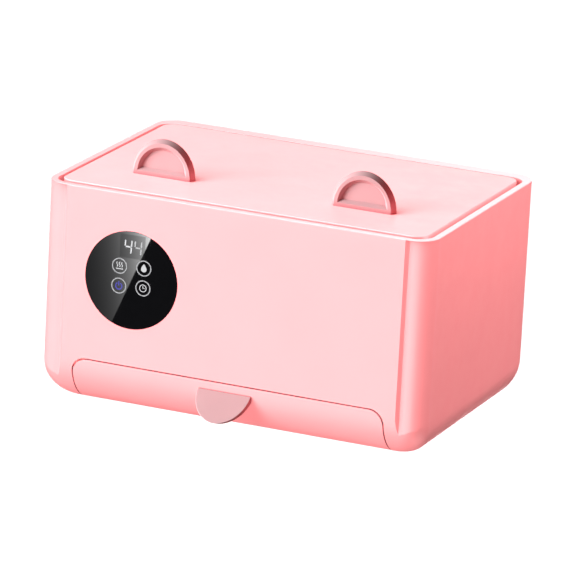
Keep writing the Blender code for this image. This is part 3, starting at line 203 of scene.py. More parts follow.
def plan_loop(plan, inset, height, steps=12):
    """A level loop in from a plan (half width, front, back, corner radius), or out where the inset is under 0."""
    half, front, back, radius = plan
    half, front, back = half - inset, front + inset, back - inset
    radius = min(max(radius - inset, GAP), half, (back - front) / 2)
    right, rear, fore = half - radius, back - radius, front + radius
    loop = []
    for index, (x, y) in enumerate(((right, fore), (right, rear), (-right, rear), (-right, fore))):
        for step in range(steps + 1):
            angle = (index - 1 + step / steps) * math.pi / 2
            loop.append(Vector((x + radius * math.cos(angle), y + radius * math.sin(angle), height)))
    return loop


def grown(plan, width):
    """A plan with its sides moved out, or in where the width is under 0."""
    half, front, back, radius = plan
    return half + width, front - width, back + width, radius + width


def quarter_round(radius, steps, from_side=True):
    """Pairs (in, down) of a quarter round from an upright side to a level top, or the other way."""
    turns = [math.pi / 2 * step / steps for step in range(steps + 1)]
    pairs = [(radius * (1 - math.cos(turn)), radius * (1 - math.sin(turn))) for turn in turns]
    return pairs if from_side else pairs[::-1]


def edge_loops(plan, height, radius, steps=4, from_side=True, up=-1, flare=1, corner_steps=12):
    """The loops of a quarter round between a plan's upright side and the level face at a height. The round lies
    under the face, or over it with up=1, and inside the plan, or outside it with flare=-1."""
    return [plan_loop(plan, flare * inset, height + up * drop, corner_steps)
            for inset, drop in quarter_round(radius, steps, from_side)]


def slab_loops(plan, low, high, under, over):
    """The loops of a level slab whose lower and upper edges are rounded."""
    return edge_loops(plan, low, under, from_side=False, up=1) + edge_loops(plan, high, over)


def loft(loops, closed=False):
    """Extrudes a ring of edges from loop to loop, all of as many points, and fills the ends unless it closes."""
    shape = bmesh.new()
    corners = [shape.verts.new(point) for point in loops[0]]
    ring = [shape.edges.new(pair) for pair in zip(corners, corners[1:] + corners[:1])]
    first = ring
    for loop in loops[1:] + (loops[:1] if closed else []):
        drawn = bmesh.ops.extrude_edge_only(shape, edges=ring)["geom"]
        fresh = {item for item in drawn if isinstance(item, bmesh.types.BMVert)}
        ring = [item for item in drawn if isinstance(item, bmesh.types.BMEdge) and fresh.issuperset(item.verts)]
        corners = [next(other for edge in corner.link_edges if (other := edge.other_vert(corner)) in fresh)
                   for corner in corners]
        for corner, point in zip(corners, loop):
            corner.co = point
    if not closed:
        for ends in (first, ring):
            bmesh.ops.edgeloop_fill(shape, edges=ends)
    return clean(shape)


def clean(shape):
    """Merges doubles and turns the faces outwards."""
    bmesh.ops.remove_doubles(shape, verts=shape.verts, dist=WELD)
    bmesh.ops.dissolve_degenerate(shape, edges=shape.edges, dist=WELD)
    bmesh.ops.recalc_face_normals(shape, faces=shape.faces)
    return shape


def prism(points, travel):
    """A flat outline, swept along a vector."""
    shape = bmesh.new()
    face = shape.faces.new([shape.verts.new(point) for point in points])
    swept = bmesh.ops.extrude_face_region(shape, geom=[face])["geom"]
    moved = [item for item in swept if isinstance(item, bmesh.types.BMVert)]
    bmesh.ops.translate(shape, vec=Vector(travel), verts=moved)
    return clean(shape)


def block(low, high):
    """A block between two corners."""
    low, high = Vector(low), Vector(high)
    shape = bmesh.new()
    size = Matrix.Diagonal((*(high - low), 1))
    bmesh.ops.create_cube(shape, size=1, matrix=Matrix.Translation((low + high) / 2) @ size)
    return shape


def upright_to(direction):
    """The turn from +Z to a direction."""
    return Vector((0, 0, 1)).rotation_difference(Vector(direction)).to_matrix().to_4x4()


def rod(radius, at, axis, start, end, sides=48):
    """A round bar through a point, along axis 0, 1 or 2 from one coordinate to another."""
    start, end = ([*at[:axis], value, *at[axis + 1:]] for value in (start, end))
    start, end = Vector(start), Vector(end)
    along = end - start
    shape = bmesh.new()
    bmesh.ops.create_cone(shape, cap_ends=True, segments=sides, radius1=radius, radius2=radius, depth=along.length,
                          matrix=Matrix.Translation((start + end) / 2) @ upright_to(along.normalized()))
    return shape


def turned(profile, centre, axis, sides=64):
    """Spins an outline of (radius, height) points, whose two ends lie on the axis, about it."""
    shape = bmesh.new()
    corners = [shape.verts.new((radius, 0, height)) for radius, height in profile]
    edges = [shape.edges.new(pair) for pair in zip(corners, corners[1:])]
    bmesh.ops.spin(shape, geom=corners + edges, cent=(0, 0, 0), axis=(0, 0, 1), angle=math.tau, steps=sides,
                   use_merge=True)
    bmesh.ops.transform(shape, matrix=Matrix.Translation(centre) @ upright_to(axis), verts=shape.verts)
    return clean(shape)


def carved(shape, cuts=(), joined=(), within=(), added=()):
    """Exact Booleans: joins shapes to a shape, keeps what lies within others, cuts some out, then adds more."""
    body = object_of("carving", shape)
    spares = [body]
    for operation, tools in (("UNION", joined), ("INTERSECT", within), ("DIFFERENCE", cuts), ("UNION", added)):
        for tool in tools:
            modifier = body.modifiers.new("carve", "BOOLEAN")
            modifier.object = object_of("cutter", tool)
            modifier.operation = operation
            modifier.solver = "EXACT"
            spares.append(modifier.object)
    bpy.context.view_layer.update()
    result = bmesh.new()
    result.from_object(body, bpy.context.evaluated_depsgraph_get())
    for spare in spares:
        mesh = spare.data
        bpy.data.objects.remove(spare)
        bpy.data.meshes.remove(mesh)
    return clean(result)


def soften(shape, width, segments=3, chosen=None, angle=SHARP):
    """Rounds the sharp edges that a test picks."""
    shape.normal_update()
    edges = [edge for edge in shape.edges if edge.is_manifold and edge.calc_face_angle(0) > angle
             and (chosen is None or all(chosen(corner.co) for corner in edge.verts))]
    if edges:
        bmesh.ops.bevel(shape, geom=edges, offset=width, offset_type="OFFSET", segments=segments, profile=0.5,
                        affect="EDGES", clamp_overlap=True, material=-1)
    return shape


def eased(name, width, segments=2):
    """A CAD node's own shape, its triangles joined into flat faces and its edges rounded."""
    shape = bmesh.new()
    shape.from_mesh(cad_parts[name].data)
    clean(shape)
    bmesh.ops.dissolve_limit(shape, angle_limit=math.radians(1), verts=shape.verts, edges=shape.edges)
    return soften(shape, width, segments)


def object_of(name, shape):
    """An object at the origin with the shape as its mesh."""
    mesh = bpy.data.meshes.new(name)
    shape.to_mesh(mesh)
    shape.free()
    made = bpy.data.objects.new(name, mesh)
    bpy.context.scene.collection.objects.link(made)
    return made


def piece(name, shape, body, finish, replaces=(), slot=None):
    """A finished piece that rides on a body and stands for CAD nodes. The slot, given or taken from its finish, is
    not used.
    """
    made = object_of(name, shape)
    made.data.shade_smooth()
    made.data.set_sharp_from_angle(angle=SHARP)
    weighted = made.modifiers.new("flat_faces_stay_flat", "WEIGHTED_NORMAL")
    weighted.keep_sharp = True
    made.data.materials.append(FINISHES[finish])
    slot = slot or finish
    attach(made, body)
    if replaces:
        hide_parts(*replaces)


def middle_of(name):
    """The middle of a CAD node."""
    low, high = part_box(name)
    return (low + high) / 2


# Finishes ----------------------------------------------------------------------------------------------------

FINISHES = {}


def add(tree, kind, inputs=None, **settings):
    """A node with its settings, and its inputs linked or set."""
    node = tree.nodes.new(kind)
    for name, value in settings.items():
        setattr(node, name, value)
    for name, value in (inputs or {}).items():
        if isinstance(value, bpy.types.NodeSocket):
            tree.links.new(value, node.inputs[name])
        else:
            node.inputs[name].default_value = value
    return node


def new_finish(name, **sockets):
    """A material with its shader and a pattern space in the object's own metres."""
    made = bpy.data.materials.new(name)
    made.use_nodes = True
    tree = made.node_tree
    shader = tree.nodes["Principled BSDF"]
    for socket, value in sockets.items():
        shader.inputs[socket.replace("_", " ")].default_value = value
    return made, tree, shader, add(tree, "ShaderNodeTexCoord").outputs["Object"]


def noise(tree, space, size, detail=2.0, roughness=0.5):
    """Noise whose blotches are about as wide as a size in metres."""
    return add(tree, "ShaderNodeTexNoise", {"Vector": space, "Scale": 1 / size, "Detail": detail,
                                            "Roughness": roughness}).outputs["Fac"]


def spread(tree, value, low, high, start=0.35, end=0.65):
    """A value from a pattern, mapped to a range."""
    return add(tree, "ShaderNodeMapRange", {"Value": value, "From Min": start, "From Max": end, "To Min": low,
                                            "To Max": high}).outputs["Result"]


def two_tone(tree, factor, first, second):
    """A colour between two by a factor; the second may be the output of another node."""
    second = second if isinstance(second, bpy.types.NodeSocket) else (*second, 1)
    return add(tree, "ShaderNodeMix", {"Factor": factor, 6: (*first, 1), 7: second}, data_type="RGBA").outputs[2]


def clouded(tree, pattern, colour, low, high):
    """A colour that a pattern makes darker and lighter, by two shares."""
    first, second = ([min(1.0, channel * share) for channel in colour] for share in (low, high))
    return two_tone(tree, pattern, first, second)


def painted_seam_shade(tree, colour, deep, reach, closed=0.2, clear=0.7):
    """Painted shade: a colour that goes over to a deeper one, the shade colour, where other skins stand close by,
    so seams, creases and hollows darken as they would in shade.
    """
    openness = add(tree, "ShaderNodeAmbientOcclusion", {"Distance": reach}, samples=8).outputs["AO"]
    return two_tone(tree, spread(tree, openness, 0, 1, closed, clear), deep, colour)


def surface(tree, shader, colour, roughness=None, height=None, strength=0.0, depth=0.0, invert=False):
    """Gives a shader its colour, and the roughness and the relief that a pattern makes."""
    tree.links.new(colour, shader.inputs["Base Color"])
    if roughness is not None:
        tree.links.new(roughness, shader.inputs["Roughness"])
    if height is not None:
        bump = add(tree, "ShaderNodeBump", {"Height": height, "Strength": strength, "Distance": depth},
                   invert=invert)
        tree.links.new(bump.outputs["Normal"], shader.inputs["Normal"])


def patterned(name, colour, size, detail, tones, gloss=None, relief=None, rough=0.5, **sockets):
    """A finish whose colour follows one noise pattern of a size in metres, with its roughness (low, high) and its
    relief (strength, depth) where they are given."""
    made, tree, shader, space = new_finish(name, **sockets)
    pattern = noise(tree, space, size, detail, rough)
    surface(tree, shader, clouded(tree, pattern, colour, *tones), gloss and spread(tree, pattern, *gloss),
            pattern if relief else None, *(relief or ()))
    return made


def moulded_gloss(name, colour, deep, roughness, reach=5 * MM, **seams):
    """ABS, injection moulded in a polished tool: an even colour with faint flow clouds, painted shade going over
    to the deep colour in seams, creases and hollows, and a soft gloss that the slight waviness of the skin breaks
    up. Its grain is 0.1 mm, drawn coarser at 0.6 mm."""
    made, tree, shader, space = new_finish(name, IOR=1.54, Specular_IOR_Level=0.35)
    skin = clouded(tree, noise(tree, space, 45 * MM, 3), colour, 0.975, 1.02)
    sheen = spread(tree, noise(tree, space, 16 * MM, 4), roughness * 0.88, roughness * 1.12)
    # Painted shade: the skin goes over to the deep colour where other skins stand within the reach.
    surface(tree, shader, painted_seam_shade(tree, skin, deep, reach, **seams), sheen, noise(tree, space, 0.6 * MM),
            strength=0.03, depth=0.02 * MM)
    return made


def moulded_matte(name, colour, roughness, ior=1.49):
    """Polypropylene or a dark housing plastic, moulded in an eroded tool: a slightly waxy colour and a fine satin
    grain of 0.2 mm, drawn coarser at 0.7 mm."""
    made, tree, shader, space = new_finish(name, IOR=ior)
    grain = noise(tree, space, 0.7 * MM, 3)
    surface(tree, shader, clouded(tree, noise(tree, space, 30 * MM), colour, 0.96, 1.03),
            spread(tree, grain, roughness * 0.9, roughness * 1.1), grain, strength=0.15, depth=0.05 * MM)
    return made


def soft_rubber(name, colour, roughness=0.75):
    """Silicone and PVC sleeves: dull, with dust-fine mottling about 0.8 mm across."""
    return patterned(name, colour, 0.8 * MM, 4, tones=(0.9, 1.1), gloss=(roughness * 0.92, roughness),
                     relief=(0.2, 0.06 * MM), IOR=1.43)


def cell_foam(name, colour):
    """Closed-cell foam: a dull skin of cells about 0.9 mm across, darker where they meet."""
    made, tree, shader, space = new_finish(name, IOR=1.4, Roughness=0.92)
    cells = add(tree, "ShaderNodeTexVoronoi", {"Vector": space, "Scale": 1 / (0.9 * MM)}).outputs["Distance"]
    surface(tree, shader, clouded(tree, cells, colour, 1.0, 0.8), height=cells, strength=0.4, depth=0.1 * MM,
            invert=True)
    return made


def brushed_metal(name, colour, roughness, run=14 * MM, pitch=0.25 * MM):
    """Steel or aluminium with a rolled and brushed face: strokes about 14 mm long and 0.25 mm apart along X, which
    stretch the reflections across them."""
    made, tree, shader, space = new_finish(name, Metallic=1.0)
    scaled = add(tree, "ShaderNodeMapping", {"Vector": space, "Scale": [MM / size for size in
                                                                        (run, pitch, pitch)]})
    strokes = noise(tree, scaled.outputs["Vector"], MM, 4)
    surface(tree, shader, clouded(tree, strokes, colour, 0.86, 1.06),
            spread(tree, strokes, roughness * 0.8, roughness * 1.3), strokes, strength=0.15, depth=0.02 * MM)
    return made


def plated_metal(name, colour, roughness):
    """Zinc-plated screws and pins: a slightly cloudy metal, blotches about 1.5 mm across."""
    return patterned(name, colour, 1.5 * MM, 3, tones=(0.85, 1.05), gloss=(roughness * 0.7, roughness * 1.3),
                     Metallic=1.0)


def smoked_acrylic(name, colour, level):
    """Cast acrylic, polished on its face and printed black behind: deep black with a clear, flat gloss, and
    hardly visible wiping marks about 6 mm apart in the gloss."""
    return patterned(name, colour, 6 * MM, 5, tones=(0.8, 1.4), gloss=(0.012, 0.025), rough=0.6, IOR=1.49,
                     Specular_IOR_Level=level)


def screen_print(name, colour, glow=0.0):
    """Screen-printed ink, and segments lit from behind: dense, slightly uneven at about 0.3 mm."""
    made = patterned(name, colour, 0.3 * MM, 2, tones=(0.9, 1.05), IOR=1.5, Roughness=0.35,
                     Emission_Strength=glow)
    if glow:
        shader = made.node_tree.nodes["Principled BSDF"]
        tone = shader.inputs["Base Color"].links[0].from_socket
        made.node_tree.links.new(tone, shader.inputs["Emission Color"])
    return made


def polyimide(name):
    """Polyimide heater film: clear amber over an etched foil track, whose runs are 2.4 mm apart."""
    made, tree, shader, space = new_finish(name, IOR=1.7)
    bands = add(tree, "ShaderNodeTexWave", {"Vector": space, "Scale": 1 / (2 * math.pi * 2.4 * MM) * 2},
                wave_type="BANDS", bands_direction="Z", wave_profile="SIN").outputs["Fac"]
    track = spread(tree, bands, 0.0, 1.0, 0.42, 0.58)
    surface(tree, shader, two_tone(tree, track, linear("#A8621C"), linear("#7E4A1E")),
            spread(tree, track, 0.25, 0.42, 0, 1))
    return made


def solder_resist(name):
    """Glass-epoxy board under green solder resist: glass weave about 0.7 mm shows faintly through the gloss."""
    made, tree, shader, space = new_finish(name, IOR=1.55)
    weave = add(tree, "ShaderNodeTexChecker", {"Vector": space, "Scale": 1 / (0.7 * MM),
                                               "Color1": (*linear("#1F6B3E"), 1),
                                               "Color2": (*linear("#1B6037"), 1)})
    surface(tree, shader, weave.outputs["Color"], spread(tree, noise(tree, space, 3 * MM, 3), 0.28, 0.4))
    return made


def make_finishes():
    """Makes every finish once, from the colours set in the sidebar."""
    own = bpy.context.scene.warmer_colours
    body, lid, rose, seam, painted_rose_shade, lens, rings, marks, lit_key = (list(getattr(own, name)) for name in (
        "body", "lid", "rose", "seam", "painted_rose_shade", "lens", "rings", "marks", "lit_key"))
    white, grey, dark = linear("#F1EFEC"), linear("#8E8E90"), linear("#1C1C1E")
    FINISHES.update(
        # The second colour of each moulded finish is the painted shade that its seams, creases and hollows go over
        # to.
        pink_abs=moulded_gloss("pink_abs_moulded", body, seam, 0.42),
        pale_pink_abs=moulded_gloss("pale_pink_abs_moulded", lid, seam, 0.42),
        rose_abs=moulded_gloss("rose_abs_moulded", rose, painted_rose_shade, 0.48, 6 * MM, clear=0.88),
        black_acrylic=smoked_acrylic("black_acrylic_polished", lens, 0.5),
        black_plastic=moulded_matte("black_plastic_moulded", dark, 0.45),
        black_magnet=moulded_matte("ferrite_pressed", linear("#2A2A2B"), 0.7, 2.0),
        black_lead=soft_rubber("black_pvc_lead", linear("#1A1A1C"), 0.5),
        red_lead=soft_rubber("red_silicone_lead", linear("#B3221C"), 0.6),
        white_lead=soft_rubber("white_pvc_lead", linear("#E4E2DE"), 0.55),
        white_polypropylene=moulded_matte("white_polypropylene_moulded", white, 0.42),
        grey_silicone=soft_rubber("grey_silicone_moulded", grey),
        white_foam=cell_foam("white_foam_cut", white),
        amber_film=polyimide("amber_polyimide_film"),
        aluminium_plate=brushed_metal("aluminium_rolled", linear("#C9CACC"), 0.38),
        brushed_weight=brushed_metal("steel_brushed", linear("#C4C5C8"), 0.3),
        steel=plated_metal("steel_zinc_plated", linear("#C2C4C8"), 0.28),
        green_board=solder_resist("green_board_glass_epoxy"),
        red_sleeve=soft_rubber("red_glass_sleeve", linear("#A92A24"), 0.8),
        print_grey=screen_print("grey_print", rings),
        print_white=screen_print("white_print", marks),
        lit_digit=screen_print("white_lit_segment", marks, 0.6),
        dim_digit=screen_print("grey_lit_segment", [channel * 0.75 for channel in marks], 0.3),
        lit_key=screen_print("blue_lit_icon", lit_key, 0.4),
        display_glass=smoked_acrylic("display_window_tinted", linear("#0B0B0C"), 0.3),
    )


# Shell, door and lid -----------------------------------------------------------------------------------------

def inset_at(height, across, up):
    """How far a wall that rounds into the floor stands in from its upright part, at a height."""
    if height >= up:
        return 0
    share = (up - height) / up
    return across * (1 - math.sqrt(1 - share * share))


def fillet_levels(steps, *fillets):
    """The heights of the steps of several fillets, low to high."""
    return sorted({round(fillet * (1 - math.cos(math.pi / 2 * step / steps)), 6)
                   for fillet in fillets for step in range(steps + 1)})


def front_sheet(size, outer_offset, inner_offset, top, sweep, half_width, steps=40):
    """A sheet that follows the case's front, between two depths, from a height down round the underside."""
    sides = []
    for offset in (outer_offset, inner_offset):
        radius = size.front_fillet - offset
        turns = [sweep * step / steps for step in range(steps + 1)]
        sides.append([(FRONT + offset, top)] + [(FRONT + size.front_fillet - radius * math.cos(turn),
                                                 UNDERSIDE + size.front_fillet - radius * math.sin(turn))
                                                for turn in turns])
    outline = [Vector((-half_width, y, z)) for y, z in sides[0] + sides[1][::-1]]
    return prism(outline, (2 * half_width, 0, 0))


def door_block(size, half_width, top, radius, steps=16):
    """A block from in front of the case to behind its wall, with the door's outline seen from the front."""
    low, start = UNDERSIDE - size.front_fillet, FRONT - size.front_fillet
    points = [Vector((-half_width, start, low)), Vector((half_width, start, low))]
    for side in (1, -1):
        for step in range(steps + 1):
            turn = math.pi / 2 * step / steps
            angle = turn if side > 0 else math.pi / 2 + turn
            points.append(Vector((side * (half_width - radius) + radius * math.cos(angle), start,
                                  top - radius + radius * math.sin(angle))))
    return prism(points, (0, 2 * size.front_fillet, 0))


def skin_depth(size, point):
    """How deep a point lies under the raised front and its round underneath."""
    middle_y, middle_z = FRONT + size.front_fillet, UNDERSIDE + size.front_fillet
    if point.z >= middle_z:
        return point.y - FRONT
    return size.front_fillet - math.hypot(point.y - middle_y, point.z - middle_z)


def case_loops(size):
    """The case's surface as level loops: out along the underside, up, over the rim and down inside."""
    steps, least = 16, 4 * MM
    opening_in = (13 * MM, 11 * MM, 12 * MM)  # from the rounds to the base opening, at the sides, front and back
    ledge, ledge_thickness, ledge_root = 3.5 * MM, 2.2 * MM, 6.2 * MM
    flange = 2 * MM
    wall, floor = size.side_wall, UNDERSIDE + size.front_wall
    outer = (HALF_WIDTH, FRONT, BACK, size.plan_radius)
    inner = (HALF_WIDTH - wall, FRONT + size.front_wall, BACK - wall, size.plan_radius - wall)
    opening = (HALF_WIDTH - size.side_fillet - opening_in[0], FRONT + size.front_fillet + opening_in[1],
               BACK - size.back_fillet - opening_in[2], least)

    def drawn_in(plan, base, height, *rounds):
        """The loop at a height over a base, drawn in by the rounds (across, up) of the side, front and back."""
        side, fore, rear = (inset_at(height, across, up) for across, up in rounds)
        half, front, back, radius = plan
        return plan_loop((half - side, front + fore, back - rear, max(radius - side / 2, least)), 0, base + height,
                         steps)

    loops = [plan_loop(opening, 0, UNDERSIDE, steps)]
    fillets = (size.side_fillet, size.front_fillet, size.back_fillet)
    loops += [drawn_in(outer, UNDERSIDE, height, *zip(fillets, fillets))
              for height in fillet_levels(18, *fillets[:2])]
    loops += edge_loops(outer, TOP, size.edge, 5, corner_steps=steps)
    rim = (HALF_WIDTH - size.rim, FRONT + size.rim, BACK - size.rim_back, size.plan_radius - size.rim)
    loops += edge_loops(rim, TOP, size.edge * 0.4, from_side=False, flare=-1, corner_steps=steps)
    ledge_top = TANK_HIGH.z - flange - GAP
    loops += [plan_loop(rim, inset, ledge_top - drop, steps)
              for inset, drop in ((0, 0), (ledge, 0), (ledge, ledge_thickness))]
    loops.append(plan_loop(inner, 0, ledge_top - ledge_root, steps))
    side_round = (size.side_fillet - wall, size.side_fillet - size.front_wall)
    front_round = (size.front_fillet - size.front_wall,) * 2
    back_round = (size.back_fillet - wall, size.back_fillet - size.front_wall)
    loops += [drawn_in(inner, floor, height, side_round, front_round, back_round)
              for height in reversed(fillet_levels(8, side_round[1], front_round[1]))]
    loops.append(plan_loop(opening, 0, floor, steps))
    return loops


def column_cutter(size, side, steps=24):
    """What is cut away in front of a corner column: the raised front's slope, then the column's own round."""
    panel, face = HALF_WIDTH - size.column, FRONT + size.recess
    radius = size.plan_radius - size.recess
    outline = [(panel - OVERRUN * size.slope / size.recess, FRONT - OVERRUN), (panel + size.slope, face)]
    for step in range(steps):
        angle = math.pi / 2 * step / steps
        outline.append((HALF_WIDTH - radius + radius * math.sin(angle), face + radius * (1 - math.cos(angle))))
    far, low = HALF_WIDTH + OVERRUN, UNDERSIDE - OVERRUN
    outline += [(far, outline[-1][1]), (far, FRONT - OVERRUN)]
    return prism([Vector((side * x, y, low)) for x, y in outline], (0, 0, TOP - size.lip - low))


class WARMER_OT_case(bpy.types.Operator):
    """Outer shell: raised front, corner columns, rim, door recess and seats"""
    bl_idname = "warmer.case"
    bl_label = "Outer shell"

    def execute(self, context):
        size, door = context.scene.warmer_case, context.scene.warmer_door
        inside, before = FRONT + size.front_wall, FRONT - OVERRUN
        post, post_root, post_length, post_bore = 3 * MM, 1.5 * MM, 3.6 * MM, 1.3 * MM
        standoff = inside + post_length
        screws = [middle_of(name) for name in BOARD_SCREWS]
        posts = [rod(post, at, Y, inside - post_root, standoff) for at in screws]
        cuts = [column_cutter(size, side) for side in (-1, 1)]
        top, half = DOOR_HIGH.z + door.seam, DOOR_HIGH.x + door.seam
        recess, play, shoulder, mouth_sweep = door.thickness + GAP, 0.25 * MM, 9.25 * MM, math.radians(50)
        cuts.append(carved(front_sheet(size, -OVERRUN, recess, top + door.corner,
                                       door.sweep + door.seam / size.front_fillet, HALF_WIDTH),
                           within=[door_block(size, half, top, door.corner - play)]))
        cuts.append(front_sheet(size, recess - OVERRUN, size.front_wall + OVERRUN, top, mouth_sweep,
                                half - shoulder))
        hinge = (0, FRONT + door.hinge_back, DOOR_HIGH.z - door.hinge_drop)
        cuts.append(block((-half + play, FRONT + recess - OVERRUN / 4, hinge[Z] - (door.knuckle + door.seam)),
                          (half - play, inside + OVERRUN, top)))
        for side, name in ((-1, "left"), (1, "right")):
            low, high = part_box(f"hinge_pin_{name}")
            outer = high.x if side > 0 else -low.x
            cuts.append(rod(door.pin + GAP, hinge, X, side * (half - door.corner), side * (outer + GAP), sides=24))
        lens, lens_seat = (LENS_X, 0, LENS_Z), 4 * MM
        cuts.append(rod(LENS_RADIUS + GAP / 6, lens, Y, before, LENS_HIGH.y + GAP, sides=160))
        cuts.append(rod(LENS_RADIUS - lens_seat, lens, Y, before, inside + OVERRUN, sides=96))
        low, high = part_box("display_module")
        cuts.append(block((low.x - GAP, before, low.z - GAP), (high.x + GAP, inside + OVERRUN, high.z + GAP)))
        cuts += [rod(post_bore, at, Y, standoff - post_length, standoff + OVERRUN, sides=24) for at in screws]
        bore, deep = 1.5 * MM, 3.3 * MM
        cuts += [rod(bore, middle_of(f"base_screw_{corner}"), Z, UNDERSIDE - OVERRUN, UNDERSIDE + deep, sides=24)
                 for corner in BASE_CORNERS]
        low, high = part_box("dc_jack")
        jack, flange = ((low.x + high.x) / 2, 0, (low.z + high.z) / 2), (high.x - low.x) / 2
        cuts.append(rod(flange + GAP, jack, Y, high.y - INLET_FLAT - GAP, BACK + OVERRUN, sides=64))
        cuts.append(rod(INLET_BARREL + GAP, jack, Y, BACK - size.side_wall - OVERRUN, BACK + OVERRUN, sides=64))
        shell = carved(loft(case_loops(size), closed=True), cuts, posts)
        panel, near, beyond = HALF_WIDTH - size.column, 0.1 * MM, 1 * MM
        column_edge, seam_edge = 0.3 * MM, 0.12 * MM

        def on_column(point):
            return (panel - near < abs(point.x) < panel + size.slope + near
                    and point.y < FRONT + size.plan_radius + beyond and point.z < TOP - size.lip + near)

        def on_skin(point):
            return (abs(skin_depth(size, point)) < ON_SKIN and point.z < top + 2 * near
                    and abs(point.x) < half + beyond)

        soften(shell, column_edge, 2, on_column)
        soften(shell, seam_edge, 2, on_skin)
        piece("case_shell", clean(shell), "case", "pink_abs", ["outer_case"])
        return {"FINISHED"}


class WARMER_OT_door(bpy.types.Operator):
    """Curved outlet door with its hinge knuckles, and the pull tab"""
    bl_idname = "warmer.door"
    bl_label = "Outlet door"

    def execute(self, context):
        size, door = context.scene.warmer_case, context.scene.warmer_door
        top, half = DOOR_HIGH.z, DOOR_HIGH.x
        hinge = (0, FRONT + door.hinge_back, top - door.hinge_drop)
        sheet = carved(front_sheet(size, 0, door.thickness, top + door.corner, door.sweep, HALF_WIDTH),
                       within=[door_block(size, half, top, door.corner)])
        seam_edge = 0.15 * MM
        clean(soften(sheet, seam_edge, 2, lambda point: abs(skin_depth(size, point)) < ON_SKIN))
        end, knuckle_length, bore_length = half - door.hinge_drop, 9 * MM, 10.5 * MM
        knuckles = [rod(door.knuckle, hinge, X, side * (end - knuckle_length), side * end, sides=32)
                    for side in (-1, 1)]
        cuts = [rod(door.pin + GAP, hinge, X, side * (end - bore_length), side * (half + OVERRUN), sides=24)
                for side in (-1, 1)]
        tab_x, peg_hole, peg, peg_spread, peg_height = ((TAB_LOW.x + TAB_HIGH.x) / 2, 1.4 * MM, 1 * MM, 8 * MM,
                                                        23 * MM)
        pegs = [(tab_x + side * peg_spread, 0, UNDERSIDE + peg_height) for side in (-1, 1)]
        cuts += [rod(peg_hole, at, Y, FRONT - OVERRUN, FRONT + 2 * OVERRUN, sides=24) for at in pegs]
        wide, deep, tall, slant = 7.3 * MM, 0.65 * MM, 3.3 * MM, math.radians(57)
        pocket = block((-wide, -deep, -tall), (wide, deep + OVERRUN, tall))
        place = Matrix.Translation(middle_of("door_strike")) @ Matrix.Rotation(slant, 4, "X")
        bmesh.ops.transform(pocket, matrix=place, verts=pocket.verts)
        piece("door_panel", carved(sheet, cuts + [pocket], knuckles), "door", "pink_abs", ["outlet_door"])

        half_tab, root_height, short = (TAB_HIGH.x - TAB_LOW.x) / 2 + 3 * GAP, 24.8 * MM, 1.2 * MM
        reach = (FRONT - GAP - TAB_LOW.y) / math.sin(TAB_TILT) - short + door.tab_tip
        root = Vector((tab_x + door.tab_shift, FRONT - door.tab_stand, UNDERSIDE + root_height))
        down = Vector((0, -math.sin(TAB_TILT), -math.cos(TAB_TILT)))
        under = Vector((0, math.cos(TAB_SIDE_TILT), -math.sin(TAB_SIDE_TILT))) * door.tab_thickness
        steps, sharp = 64, math.radians(50)
        turns = [math.pi * step / steps for step in range(steps + 1)]
        outline = [root + Vector((-half_tab * math.cos(turn), 0, 0)) + down * reach * math.sin(turn)
                   for turn in turns]
        plate = soften(prism(outline, under), door.tab_edge, 4,
                       lambda point: point.z < root.z - GAP or point.y < FRONT, sharp)
        face_x, across = tab_x + door.tab_shift, half_tab + OVERRUN
        bowl = rod(size.front_fillet + GAP, (0, FRONT + size.front_fillet, UNDERSIDE + size.front_fillet), X,
                   face_x - across, face_x + across, sides=256)
        joined = [rod(peg, at, Y, FRONT - GAP, FRONT + door.thickness, sides=24) for at in pegs]
        piece("pull_tab", carved(clean(plate), [bowl], added=joined), "door", "rose_abs", ["door_tab"])
        return {"FINISHED"}


def ear_loop(centre, foot, half_width, height, depth, sill=0.0, steps=72):
    """Half an oval that stands on a straight sill, at a depth behind the ear's face."""
    turns = [math.pi * step / steps for step in range(steps + 1)]
    return [Vector((centre + half_width * math.cos(turn), foot.y + depth,
                    foot.z + sill + (height - sill) * math.sin(turn))) for turn in turns]


def ear_screw_holes(ear, start, end=None):
    """Holes for the two screws of an ear, up to a height or just past their tips."""
    holes, bore = [], 1.1 * MM
    for screw in ENDS:
        low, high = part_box(f"ear_screw_{ear}_{screw}")
        at = ((low.x + high.x) / 2, (low.y + high.y) / 2, 0)
        holes.append(rod(bore, at, Z, start, end or high.z + GAP, sides=24))
    return holes


class WARMER_OT_ears(bpy.types.Operator):
    """The two ears on the lid, each a raised ring round a shallow dish"""
    bl_idname = "warmer.ears"
    bl_label = "Ears"

    def execute(self, context):
        size = context.scene.warmer_lid
        slope, ring, dish, sill = size.ear_slope, size.ear_ring, size.ear_dish, size.ear_sill
        sharp, off_lid = math.radians(18), 0.05 * MM
        for name in SIDES:
            low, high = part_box(f"ear_{name}")
            centre, half, tall = (low.x + high.x) / 2, (high.x - low.x) / 2, high.z - low.z
            rows = ((0, high.y - low.y, 0), (0, size.ear_slope_depth, 0), (slope, 0, 0), (slope + ring, 0, sill),
                    (slope + ring + dish, dish, sill + slope))
            shape = loft([ear_loop(centre, low, half - inset, tall - inset, depth, rise)
                          for inset, depth, rise in rows])
            soften(shape, size.ear_edge, 3, lambda point: point.z > low.z + off_lid, sharp)
            holes = ear_screw_holes(name, low.z - OVERRUN)
            piece(f"lid_ear_{name}", carved(clean(shape), holes), "lid", "rose_abs", [f"ear_{name}"])
        return {"FINISHED"}


